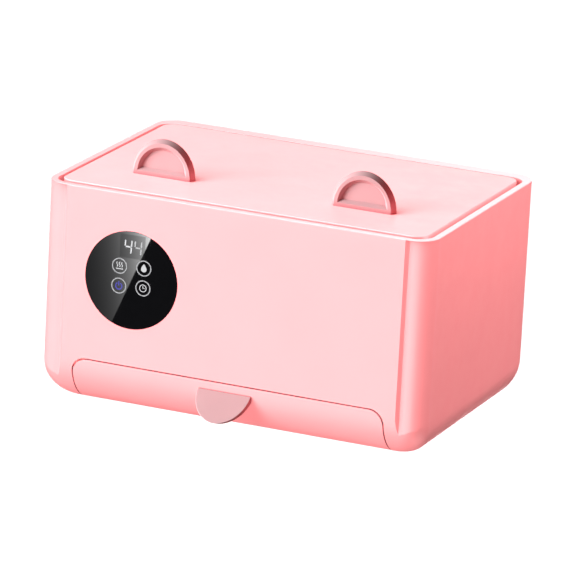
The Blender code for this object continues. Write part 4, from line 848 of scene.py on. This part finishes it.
class WARMER_OT_lid(bpy.types.Operator):
    """Lid cover with its rounded edge and skirt"""
    bl_idname = "warmer.lid"
    bl_label = "Lid"

    def execute(self, context):
        size, steps, chamfer = context.scene.warmer_lid, 20, 0.3 * MM
        plan = (LID_HIGH.x, LID_LOW.y, LID_HIGH.y, size.radius)
        inner = grown(plan, -size.skirt)
        loops = edge_loops(plan, TOP + size.proud, size.edge, 6, from_side=False, corner_steps=steps)
        loops += [plan_loop(plan, 0, LID_LOW.z + chamfer, steps), plan_loop(plan, chamfer, LID_LOW.z, steps)]
        loops += [plan_loop(inner, 0, height, steps) for height in (LID_LOW.z, TOP - size.slab)]
        below, above = TOP - size.slab - OVERRUN, TOP + OVERRUN
        holes = [hole for name in SIDES for hole in ear_screw_holes(name, below, above)]
        piece("lid_shell", carved(loft(loops), holes), "lid", "pale_pink_abs", ["lid_cover"])
        return {"FINISHED"}


# Controls ----------------------------------------------------------------------------------------------------

def stroke(points, width, steps=6):
    """A flat mark with round ends along points (x, z) on the lens."""
    outline, half = [], width / 2
    for run in (list(points), list(points)[::-1]):
        for index, (x, z) in enumerate(run):
            before, after = run[max(index - 1, 0)], run[min(index + 1, len(run) - 1)]
            along = Vector((after[0] - before[0], after[1] - before[1])).normalized()
            if index < len(run) - 1:
                outline.append((x - along.y * half, z + along.x * half))
            else:
                start = math.atan2(along.x, -along.y)
                for step in range(steps + 1):
                    angle = start - math.pi * step / steps
                    outline.append((x + half * math.cos(angle), z + half * math.sin(angle)))
    return prism([Vector((x, MARK_FACE, z)) for x, z in outline[::-1]], (0, MARK_BACK - MARK_FACE, 0))


def ring_mark(at, radius, width, steps=72):
    """A flat ring on the lens."""
    turns = [math.tau * step / steps for step in range(steps)]
    return loft([[Vector((at.x + r * math.cos(turn), y, at.z + r * math.sin(turn))) for turn in turns]
                 for r, y in ((radius, MARK_FACE), (radius, MARK_BACK), (radius - width, MARK_BACK),
                              (radius - width, MARK_FACE))], closed=True)


def mark(name, shape, finish="print_white"):
    """A mark on the lens."""
    piece(name, shape, "case", finish, slot="black_acrylic")


class WARMER_OT_controls(bpy.types.Operator):
    """Round lens with its key rings, icons and two digits"""
    bl_idname = "warmer.controls"
    bl_label = "Controls"

    def execute(self, context):
        edge, back_edge, thick = 0.04 * MM, 0.2 * MM, LENS_HIGH.y - LENS_FACE
        profile = [(0, thick)]
        profile += [(LENS_RADIUS - inset, thick - drop) for inset, drop in quarter_round(edge, 5, from_side=False)]
        profile += [(LENS_RADIUS, back_edge), (LENS_RADIUS - back_edge, 0), (0, 0)]
        lens = turned(profile, (LENS_X, LENS_HIGH.y, LENS_Z), (0, -1, 0), sides=160)
        piece("lens_disc", lens, "case", "black_acrylic", ["control_lens"])
        low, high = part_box("display_module")
        border, front, back, round_edge = 0.4 * MM, 0.015 * MM, 0.005 * MM, 0.004 * MM
        window = block((low.x + border, LENS_FACE - front, low.z + border),
                       (high.x - border, LENS_FACE - back, high.z - border))
        mark("display_window", soften(window, round_edge, 1), "display_glass")
        keys, ring, ring_width = [], 4.7 * MM, 0.6 * MM
        for level in ("upper", "lower"):
            for side, shift in (("left", -0.25 * MM), ("right", 0.5 * MM)):
                at = middle_of(f"touch_pillar_{level}_{side}")
                at.z += shift
                mark(f"key_ring_{level}_{side}", ring_mark(at, ring, ring_width), "print_grey")
                keys.append(at)
        for icon, at in zip((self.heat_icon, self.drop_icon, self.power_icon, self.clock_icon), keys):
            icon(at)
        self.digits()
        return {"FINISHED"}

    def heat_icon(self, at):
        """Three rising waves over a bar, for heating."""
        swing, low, tall, steps = 0.35 * MM, 0.5 * MM, 2.6 * MM, 12
        for index, x in enumerate((-1.5 * MM, 0, 1.5 * MM)):
            points = [(at.x + x + swing * math.sin(t / steps * math.tau), at.z - low + tall * t / steps)
                      for t in range(steps + 1)]
            mark(f"icon_heat_wave_{index + 1}", stroke(points, 0.5 * MM))
        half, drop = 2 * MM, 1.7 * MM
        mark("icon_heat_bar", stroke([(at.x - half, at.z - drop), (at.x + half, at.z - drop)], 0.6 * MM))

    def drop_icon(self, at):
        """A drop, for moisture."""
        radius, low, steps = 1.75 * MM, 0.5 * MM, 32
        points = []
        for step in range(steps):
            angle = math.pi * (0.5 + 2 * step / steps)
            x, z = radius * math.cos(angle), radius * math.sin(angle)
            if z > 0:
                z *= 1 + 0.75 * (z / radius) ** 2
                x *= 1 - 0.35 * (z / radius) ** 2 / 3
            points.append(Vector((at.x + x, MARK_FACE, at.z - low + z)))
        mark("icon_drop", prism(points[::-1], (0, MARK_BACK - MARK_FACE, 0)))

    def power_icon(self, at):
        """A broken ring with a bar, for power, lit blue."""
        radius, width, low, steps = 2.3 * MM, 0.7 * MM, 0.2 * MM, 40
        start, turn, middle = math.radians(125), math.radians(290), radius - width / 2
        angles = [start + turn * step / steps for step in range(steps + 1)]
        ring = [(at.x + middle * math.cos(angle), at.z - low + middle * math.sin(angle)) for angle in angles]
        mark("icon_power_ring", stroke(ring, width), "lit_key")
        mark("icon_power_bar", stroke([(at.x, at.z + 0.3 * MM), (at.x, at.z + radius)], width), "lit_key")

    def clock_icon(self, at):
        """A dial with two hands, for the timer."""
        mark("icon_clock_ring", ring_mark(at, 2.3 * MM, 0.5 * MM))
        hands = [(at.x, at.z + 1.3 * MM), (at.x, at.z), (at.x + 0.9 * MM, at.z)]
        mark("icon_clock_hands", stroke(hands, 0.45 * MM))

    def digits(self):
        """Two seven-segment digits that read 44."""
        high, right, lean, width, drop = 3.45 * MM, 2 * MM, 0.06, 0.8 * MM, 0.3 * MM
        segments = (("upper_left", (-right, high), (-right, 0.75 * MM)),
                    ("middle", (-right + 0.75 * MM, 0), (right - 0.95 * MM, 0)),
                    ("upper_right", (right, high), (right, 0.6 * MM)),
                    ("lower_right", (right, -0.6 * MM), (right, -high)))
        middle = middle_of("display_module")
        places = ((middle.x - 2.7 * MM, "lit_digit"), (middle.x + 3.45 * MM, "dim_digit"))
        for index, (centre, finish) in enumerate(places):
            for name, *ends in segments:
                points = [(centre + x + lean * z, middle.z - drop + z) for x, z in ends]
                mark(f"digit_{index + 1}_{name}", stroke(points, width), finish)


# Tank, press and base ----------------------------------------------------------------------------------------

def plan_of(low, high, radius):
    """The plan of a box: half width, front, back and corner radius."""
    return high.x, low.y, high.y, radius


def tank_plan(size):
    """The plan of the tank's inside."""
    return HALF_WIDTH - size.side_room, FRONT + size.front_room, BACK - size.back_room, size.radius


class WARMER_OT_tank(bpy.types.Operator):
    """Inner tank with its outlet chute and lip"""
    bl_idname = "warmer.tank"
    bl_label = "Tank"

    def execute(self, context):
        size, case = context.scene.warmer_tank, context.scene.warmer_case
        flange = plan_of(TANK_LOW, TANK_HIGH, case.plan_radius - case.rim - GAP)
        inner = tank_plan(size)
        outer = grown(inner, size.wall)
        flange_low, floor = TANK_HIGH.z - size.wall, TANK_LOW.z + size.wall
        foot, lead_in, edge = size.foot, 0.8 * MM, 0.4 * MM
        loops = edge_loops(outer, TANK_LOW.z, foot, 8, from_side=False, up=1)
        loops.append(plan_loop(outer, 0, flange_low))
        loops += slab_loops(flange, flange_low, TANK_HIGH.z, edge, edge)
        loops += edge_loops(inner, TANK_HIGH.z, lead_in, from_side=False, flare=-1)
        loops += edge_loops(inner, floor, foot, 8, up=1)
        low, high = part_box("outlet_lip")
        slot = block((low.x - GAP, inner[1] - 2 * size.wall, floor + GAP),
                     (high.x + GAP, inner[1] + 2 * foot, high.z + GAP))
        piece("tank_shell", carved(loft(loops), [slot]), "case", "white_polypropylene", ["inner_tank"])
        piece("chute_duct", eased("outlet_chute", 0.25 * MM), "case", "white_polypropylene", ["outlet_chute"])
        piece("chute_lip", eased("outlet_lip", 0.2 * MM), "case", "grey_silicone", ["outlet_lip"])
        return {"FINISHED"}


class WARMER_OT_liner(bpy.types.Operator):
    """The lid's liner with its hollow plug, and the seal round it"""
    bl_idname = "warmer.liner"
    bl_label = "Liner and seal"

    def execute(self, context):
        low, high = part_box("lid_liner")
        inner = tank_plan(context.scene.warmer_tank)
        clear, wall, thickness, edge = 1.5 * MM, 2 * MM, 1.8 * MM, 0.8 * MM
        plate, plug = plan_of(low, high, 5.7 * MM), grown(inner, -clear)
        hollow, under = grown(plug, -wall), high.z - thickness
        loops = edge_loops(plate, high.z, GAP, 2, from_side=False) + edge_loops(plate, under, GAP, 2, up=1)
        loops += [plan_loop(plug, -out, under - edge + out) for out in (edge, edge / 4, 0)]
        loops += edge_loops(plug, low.z, edge, up=1)
        loops += edge_loops(hollow, low.z, edge, from_side=False, up=1, flare=-1)
        loops += [plan_loop(hollow, inset, under - drop) for inset, drop in ((0, edge), (edge / 4, edge / 4),
                                                                           (edge, 0))]
        piece("liner_plate", loft(loops), "lid", "white_polypropylene", ["lid_liner"])
        low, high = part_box("lid_seal")
        band, bead = 4 * MM, 0.9 * MM
        outer = plan_of(low, high, inner[3] + band + 1.5 * MM)
        inside = grown(outer, -band)
        loops = slab_loops(outer, low.z, high.z, bead, bead)
        loops += edge_loops(inside, high.z, bead, from_side=False, flare=-1)
        loops += edge_loops(inside, low.z, bead, up=1, flare=-1)
        piece("seal_ring", loft(loops, closed=True), "lid", "grey_silicone", ["lid_seal"])
        dress("white_foam", "lid_foam")
        return {"FINISHED"}


class WARMER_OT_press(bpy.types.Operator):
    """Press plate, its steel weight and the knob"""
    bl_idname = "warmer.press"
    bl_label = "Press plate"

    def execute(self, context):
        size = context.scene.warmer_tank
        low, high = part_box("press_plate")
        weight_low, weight_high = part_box("press_weight")
        middle, edge, under = (0, (low.y + high.y) / 2, 0), 0.6 * MM, 1.2 * MM
        outer = plan_of(low, high, 7.5 * MM)
        inner = grown(outer, -size.press_wall)
        loops = slab_loops(outer, low.z, high.z, under, edge)
        loops += edge_loops(inner, high.z, edge, from_side=False, flare=-1)
        loops += edge_loops(inner, low.z + size.press_floor, under, up=1)
        peg = 3 * MM
        tray = loft(loops)
        slab = loft(slab_loops(plan_of(weight_low, weight_high, 5 * MM), weight_low.z, weight_high.z, edge, edge))
        tray, slab = (carved(part, [rod(peg + GAP, middle, Z, low.z - OVERRUN, weight_high.z + OVERRUN)])
                      for part in (tray, slab))
        piece("press_tray", tray, "press", "white_polypropylene", ["press_plate"])
        piece("weight_slab", slab, "press", "brushed_weight", ["press_weight"], slot="steel")
        seat, top, radius, neck = weight_high.z + GAP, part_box("press_knob")[1].z, 10 * MM, 5 * MM
        crown, brim, head = 2 * MM, 1 * MM, 4 * MM
        turns = [k / 16 * math.pi for k in range(9)]
        hollow = radius - brim - neck
        profile = [(0, top)]
        profile += [(radius - crown + crown * math.sin(turn), top - crown * (1 - math.cos(turn)))
                    for turn in turns]
        profile += [(radius - inset, top - head + rise) for inset, rise in quarter_round(brim, 4)]
        profile += [(neck + hollow * (1 - math.sin(turn)), top - head - hollow * (1 - math.cos(turn)))
                    for turn in turns[1:]]
        profile += [(neck, seat + brim), (neck + brim / 4, seat + brim / 4), (neck + brim, seat), (peg, seat),
                    (peg, low.z + 2 * GAP), (peg - GAP, low.z + GAP), (0, low.z + GAP)]
        piece("knob", turned(profile, middle, (0, 0, 1)), "press", "rose_abs", ["press_knob"])
        return {"FINISHED"}


class WARMER_OT_base(bpy.types.Operator):
    """Base plate, its four feet and its cross-head screws"""
    bl_idname = "warmer.base"
    bl_label = "Base and feet"

    def execute(self, context):
        low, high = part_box("base_plate")
        head, shank, tall, foot_radius = 2.3 * MM, 1.2 * MM, 0.8 * MM, 7 * MM
        cuts = []
        for corner in BASE_CORNERS:
            screw, foot = middle_of(f"base_screw_{corner}"), middle_of(f"foot_{corner}")
            cuts += [rod(shank + GAP, screw, Z, low.z - OVERRUN, high.z + OVERRUN, sides=32),
                     rod(head + GAP, screw, Z, low.z - OVERRUN, low.z + tall + GAP),
                     rod(foot_radius + GAP, foot, Z, low.z - OVERRUN, low.z + 1 * MM, sides=64)]
        cover = loft(slab_loops(plan_of(low, high, 6 * MM), low.z, high.z, 0.5 * MM, 0.2 * MM))
        piece("base_cover", carved(cover, cuts), "case", "pink_abs", ["base_plate"])
        for corner in BASE_CORNERS:
            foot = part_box(f"foot_{corner}")
            at = (foot[0] + foot[1]) / 2
            top, radius, edge = foot[1].z, foot[1].x - at.x, 0.6 * MM
            profile = [(0, top), (radius, top)]
            profile += [(radius - inset, rise) for inset, rise in quarter_round(edge, 4)]
            profile += [(4.6 * MM, 0), (4.4 * MM, GAP), (3.8 * MM, GAP), (3.6 * MM, 0), (0, 0)]  # a ring groove
            piece(f"foot_pad_{corner}", turned(profile, (at.x, at.y, 0), (0, 0, 1)), "case", "grey_silicone",
                  [f"foot_{corner}"])
            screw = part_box(f"base_screw_{corner}")
            at = (screw[0] + screw[1]) / 2
            bottom, tip = screw[0].z, screw[1].z
            profile = [(0, bottom), (head - GAP, bottom), (head, bottom + GAP), (head, bottom + tall),
                       (shank, bottom + tall), (shank, tip - shank / 2), (shank / 2, tip), (0, tip)]
            long, thin = 1.3 * MM, 0.25 * MM
            cross = [block((at.x - wide, at.y - deep, bottom - OVERRUN),
                           (at.x + wide, at.y + deep, bottom + tall * 0.6))
                     for wide, deep in ((long, thin), (thin, long))]
            shape = carved(turned(profile, (at.x, at.y, 0), (0, 0, 1), sides=32), cross)
            piece(f"cover_screw_{corner}", shape, "case", "steel", [f"base_screw_{corner}"])
        return {"FINISHED"}


class WARMER_OT_inlet(bpy.types.Operator):
    """Round power inlet with its contact pin"""
    bl_idname = "warmer.inlet"
    bl_label = "Power inlet"

    def execute(self, context):
        low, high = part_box("dc_jack")
        at = Vector(((low.x + high.x) / 2, high.y, (low.z + high.z) / 2))
        flange, socket, deep, pin = (high.x - low.x) / 2, 3 * MM, 9 * MM, 1 * MM
        edge, back = 0.3 * MM, low.y - high.y
        profile = [(0, -deep), (socket, -deep), (socket, -edge), (socket + edge, 0), (flange - edge, 0),
                   (flange - edge * 0.3, -edge * 0.3), (flange, -edge), (flange, -INLET_FLAT),
                   (INLET_BARREL, -INLET_FLAT), (INLET_BARREL, back), (0, back)]
        piece("inlet_barrel", turned(profile, at, (0, 1, 0)), "case", "black_plastic", ["dc_jack"])
        profile = [(0, -pin), (pin * 0.7, -pin * 1.1), (pin, -pin * 1.5), (pin, -deep - GAP), (0, -deep - GAP)]
        piece("inlet_pin", turned(profile, at, (0, 1, 0), sides=32), "case", "steel")
        return {"FINISHED"}


def dress(finish, *nodes):
    """Gives CAD nodes their finish."""
    for name in nodes:
        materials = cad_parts[name].data.materials
        materials.clear()
        materials.append(FINISHES[finish])


class WARMER_OT_inside(bpy.types.Operator):
    """Screws, heater, board, leads and catch, as the CAD frame has them"""
    bl_idname = "warmer.inside"
    bl_label = "Inner parts"

    def execute(self, context):
        dress("steel", *BOARD_SCREWS, *(f"ear_screw_{side}_{end}" for side in SIDES for end in ENDS), "jack_nut",
              "door_strike", "hinge_pin_left", "hinge_pin_right")
        dress("white_foam", *(f"touch_pillar_{level}_{side}" for level in LEVELS for side in SIDES),
              "insulation_wrap", "bottom_pad")
        dress("black_plastic", "display_module", "thermistor")
        for finish, node in (("black_magnet", "door_magnet"), ("amber_film", "heater_film"),
                             ("aluminium_plate", "heat_spreader"), ("green_board", "control_board"),
                             ("red_sleeve", "thermal_fuse"), ("black_lead", "power_lead"),
                             ("red_lead", "heater_lead"), ("white_lead", "sensor_lead")):
            dress(finish, node)
        return {"FINISHED"}


# Stage -------------------------------------------------------------------------------------------------------

CAMERA_AZIMUTH, CAMERA_ELEVATION, CAMERA_ROLL = (math.radians(angle) for angle in (22.319, 16.203, 3.056))
CAMERA_DISTANCE = 3.2385
CAMERA_TARGET = Vector((0, 7.469 * MM, 69.8 * MM))
IMAGE_SIDE, IMAGE_MIDDLE = 573, (1.154, 1.087)
FOCAL_PIXELS = 5559.85
SENSOR = 36
FLOOR_GREYS = ("#CBCBCB", "#CECECE")
FLOOR_WASH = 5.8
ROOM_GLOW, TABLE_GLOW = 0.05, 0.13
# Name, azimuth and elevation in degrees, distance and side in metres, watts, what it lights and what shades it
LAMPS = (
    ("key", -40, 20, 2.2, 1.4, 92, "shells", "all"),
    ("top", -30, 70, 2.2, 1.4, 94, "case", "all"),
    ("lid_top", -50, 62, 1.6, 1.2, 68, "lid", "all"),
    ("lid_side", 100, -3, 2.2, 1, 90, "lid", "lid"),
    ("side", 130, 25, 2.2, 1.4, 18, "case", "floor"),
    ("side_near", 100, 50, 0.55, 0.3, 3.6, "case", "floor"),
    ("side_bounce", 95, -55, 0.55, 0.3, 0.4, "case", "case"),
    ("front_bounce", 5, -35, 2.2, 1.4, 53, "shells", "shells"),
    ("back", 180, 25, 2.2, 1.6, 12, "all", "all"),
    ("back_bounce", 200, -12, 2.2, 1, 28, "all", "all"),
    ("rose_key", -60, 15, 2.2, 1, 192, "rose", "rose"),
    ("rose_bounce", 100, -5, 2.2, 1, 42, "rose", "rose"),
    ("inner_top", -30, 70, 2.2, 1.4, 28, "inner", "all"),
    ("inner_key", -40, 30, 2.2, 1.4, 20, "inner", "all"),
)
BOUNCE_RED = (1, 0.05, 0.08)  # the light that the ears and the tab get back from the pink skins beside them
# The card that the lens reflects, its slanting edge, the reach of its glow (beside and down the edge), and the
# glow's brightness at the head of the edge, over the rest of the left part, and on the right
CARD_MIDDLE = Vector((-121.3, -211, 42.7)) * MM
CARD_SIDE = 72 * MM
CARD_EDGE_HEAD, CARD_EDGE_FOOT = Vector((-109.46, -211, 71.22)) * MM, Vector((-132.09, -211, 16.95)) * MM
CARD_FADE = (12 * MM, 20 * MM)
CARD_GLOW = (19.5, 0.1, 0.05)


def linked_object(name, data):
    """A lamp or a camera in the scene."""
    made = bpy.data.objects.new(name, data)
    bpy.context.scene.collection.objects.link(made)
    return made


def grid(name, side, matrix=Matrix()):
    """A single square face."""
    shape = bmesh.new()
    bmesh.ops.create_grid(shape, x_segments=1, y_segments=1, size=side / 2, matrix=matrix)
    return object_of(name, shape)


def hide_from(thing, *rays):
    """Makes an object invisible to some kinds of ray."""
    for ray in rays:
        setattr(thing, f"visible_{ray}", False)


def direction(azimuth, elevation):
    """The unit vector towards an azimuth from the front and an elevation."""
    return Vector((math.sin(azimuth) * math.cos(elevation), -math.cos(azimuth) * math.cos(elevation),
                   math.sin(elevation)))


class WARMER_OT_stage(bpy.types.Operator):
    """Pale floor, soft studio light and the camera at the photograph's angle"""
    bl_idname = "warmer.stage"
    bl_label = "Stage"

    def execute(self, context):
        scene = context.scene
        scene.world = self.surroundings()
        floor = grid("floor", 12)
        paper, tree, shader, space = new_finish("floor_paper", Roughness=0.9)
        surface(tree, shader, two_tone(tree, noise(tree, space, 2 * MM), *(linear(grey) for grey in FLOOR_GREYS)))
        floor.data.materials.append(paper)
        floor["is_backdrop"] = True
        hide_from(floor, "diffuse", "glossy", "transmission", "shadow")  # the world's lower half lights instead
        self.light(floor)
        self.reflector()
        back = direction(CAMERA_AZIMUTH, CAMERA_ELEVATION)
        right = Vector((math.cos(CAMERA_AZIMUTH), math.sin(CAMERA_AZIMUTH), 0))
        up = back.cross(right)
        turned_right = right * math.cos(CAMERA_ROLL) + up * math.sin(CAMERA_ROLL)
        turned_up = up * math.cos(CAMERA_ROLL) - right * math.sin(CAMERA_ROLL)
        data = bpy.data.cameras.new("photo_camera")
        data.sensor_width = SENSOR
        data.sensor_fit = "HORIZONTAL"
        data.lens = FOCAL_PIXELS / IMAGE_SIDE * SENSOR
        data.shift_x = -IMAGE_MIDDLE[0] / IMAGE_SIDE
        data.shift_y = IMAGE_MIDDLE[1] / IMAGE_SIDE
        data.clip_end = 50
        camera = linked_object("photo_camera", data)
        camera.matrix_world = Matrix.Translation(CAMERA_TARGET + back * CAMERA_DISTANCE) @ Matrix(
            (turned_right, turned_up, back)).transposed().to_4x4()
        scene.camera = camera
        scene.view_settings.view_transform = "Standard"
        return {"FINISHED"}

    def surroundings(self):
        """A dim room over the brighter bounce of a pale table."""
        world = bpy.data.worlds.new("studio")
        world.use_nodes = True
        tree = world.node_tree
        height = add(tree, "ShaderNodeSeparateXYZ", {0: add(tree, "ShaderNodeTexCoord").outputs["Generated"]})
        shader = tree.nodes["Background"]
        shader.inputs["Color"].default_value = (1, 1, 1, 1)
        tree.links.new(spread(tree, height.outputs["Z"], TABLE_GLOW, ROOM_GLOW, -0.1, 0.1),
                       shader.inputs["Strength"])
        return world

    def light(self, floor):
        """Soft lamps round the object, and an even light on the floor alone, which keeps it free of shadows."""
        things = [*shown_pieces(), *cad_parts.values()]

        def finished(*finishes):
            names = {FINISHES[name].name for name in finishes}
            return [thing for thing in things if thing.data.materials[0].name in names]

        shells = finished("pink_abs", "pale_pink_abs", "black_acrylic", "display_glass", "print_grey",
                          "print_white", "lit_digit", "dim_digit", "lit_key")
        rose = finished("rose_abs")
        lid = [thing for thing in shells if thing.name == "lid_shell"]
        groups = {"all": things, "shells": shells, "lid": lid, "rose": rose, "floor": [floor],
                  "case": [thing for thing in shells if thing not in lid],
                  "inner": [thing for thing in things if thing not in shells and thing not in rose]}
        linked = {}
        for name, members in groups.items():
            linked[name] = bpy.data.collections.new(f"lit_{name}")
            for member in {member.name: member for member in members}.values():
                linked[name].objects.link(member)
        for name, azimuth, elevation, away, side, watts, lit, shading in LAMPS:
            towards = direction(math.radians(azimuth), math.radians(elevation))
            data = bpy.data.lights.new(name, "AREA")
            data.shape = "RECTANGLE"
            data.size = data.size_y = side
            data.energy = watts
            data.color = BOUNCE_RED if name == "rose_bounce" else (1, 1, 1)
            lamp = linked_object(name, data)
            lamp.location = towards * away + CAMERA_TARGET
            lamp.rotation_euler = (CAMERA_TARGET - lamp.location).to_track_quat("-Z", "Y").to_euler()
            lamp.light_linking.receiver_collection = linked[lit]
            lamp.light_linking.blocker_collection = linked[shading]
        data = bpy.data.lights.new("floor_wash", "SUN")
        data.energy = FLOOR_WASH
        data.angle = math.radians(20)
        wash = linked_object("floor_wash", data)
        wash.light_linking.receiver_collection = wash.light_linking.blocker_collection = linked["floor"]

    def reflector(self):
        """A card before the lens that only its polished face sees: bright by a slanting edge, black beyond."""
        card = grid("lens_card", CARD_SIDE,
                    Matrix.Translation(CARD_MIDDLE) @ Matrix.Rotation(math.pi / 2, 4, "X"))
        made = bpy.data.materials.new("card_glow")
        made.use_nodes = True
        tree = made.node_tree
        tree.nodes.clear()

        def maths(operation, *values, kind="ShaderNodeMath", output=0):
            return add(tree, kind, dict(enumerate(values)), operation=operation).outputs[output]

        def along(way):
            return maths("DOT_PRODUCT", place, way, kind="ShaderNodeVectorMath", output="Value")

        space = add(tree, "ShaderNodeTexCoord").outputs["Object"]
        place = maths("SUBTRACT", space, CARD_EDGE_HEAD, kind="ShaderNodeVectorMath")
        edge = (CARD_EDGE_FOOT - CARD_EDGE_HEAD).normalized()
        down, left = along(edge), along(Vector((edge.z, 0, -edge.x)))
        fade = maths("MULTIPLY_ADD", down, -1 / CARD_FADE[1], maths("MULTIPLY", left, -1 / CARD_FADE[0]))
        glow = maths("MULTIPLY_ADD", maths("EXPONENT", fade), *CARD_GLOW[:2])
        strength = maths("MULTIPLY_ADD", glow, maths("GREATER_THAN", left, 0.0), CARD_GLOW[2])
        shine = add(tree, "ShaderNodeEmission", {"Strength": strength})
        add(tree, "ShaderNodeOutputMaterial", {"Surface": shine.outputs[0]})
        card.data.materials.append(made)
        card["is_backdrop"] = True
        hide_from(card, "camera", "diffuse", "transmission", "shadow")
        seen_by = bpy.data.collections.new("lit_lens")
        for name in ("lens_disc", "display_window"):
            seen_by.objects.link(bpy.data.objects[name])
        card.light_linking.receiver_collection = seen_by


class WARMER_PT_panel(bpy.types.Panel):
    """Sizes, colours and the steps that build the warmer"""
    bl_idname = "WARMER_PT_panel"
    bl_label = "Wipe warmer"
    bl_space_type = "VIEW_3D"
    bl_region_type = "UI"
    bl_category = "Warmer"

    def draw(self, context):
        for group, kind in SIZES.items():
            box = self.layout.box()
            box.label(text=kind.__doc__)
            for name in kind.__annotations__:
                box.prop(getattr(context.scene, group), name)
        for step in STEPS:
            self.layout.operator(step.bl_idname)


STEPS = (WARMER_OT_case, WARMER_OT_door, WARMER_OT_ears, WARMER_OT_lid, WARMER_OT_controls, WARMER_OT_tank,
         WARMER_OT_liner, WARMER_OT_press, WARMER_OT_base, WARMER_OT_inlet, WARMER_OT_inside, WARMER_OT_stage)
CLASSES = (*SIZES.values(), *STEPS, WARMER_PT_panel)


def register():
    """Adds the classes and the sizes to Blender."""
    for kind in CLASSES:
        bpy.utils.register_class(kind)
    for group, kind in SIZES.items():
        setattr(bpy.types.Scene, group, bpy.props.PointerProperty(type=kind))


def unregister():
    """Takes them out again."""
    for group in SIZES:
        delattr(bpy.types.Scene, group)
    for kind in reversed(CLASSES):
        bpy.utils.unregister_class(kind)


def main():
    """Builds everything in order."""
    register()
    make_finishes()
    bpy.ops.warmer.case()
    bpy.ops.warmer.door()
    bpy.ops.warmer.ears()
    bpy.ops.warmer.lid()
    bpy.ops.warmer.controls()
    bpy.ops.warmer.tank()
    bpy.ops.warmer.liner()
    bpy.ops.warmer.press()
    bpy.ops.warmer.base()
    bpy.ops.warmer.inlet()
    bpy.ops.warmer.inside()
    bpy.ops.warmer.stage()


if __name__ == "__main__":
    main()
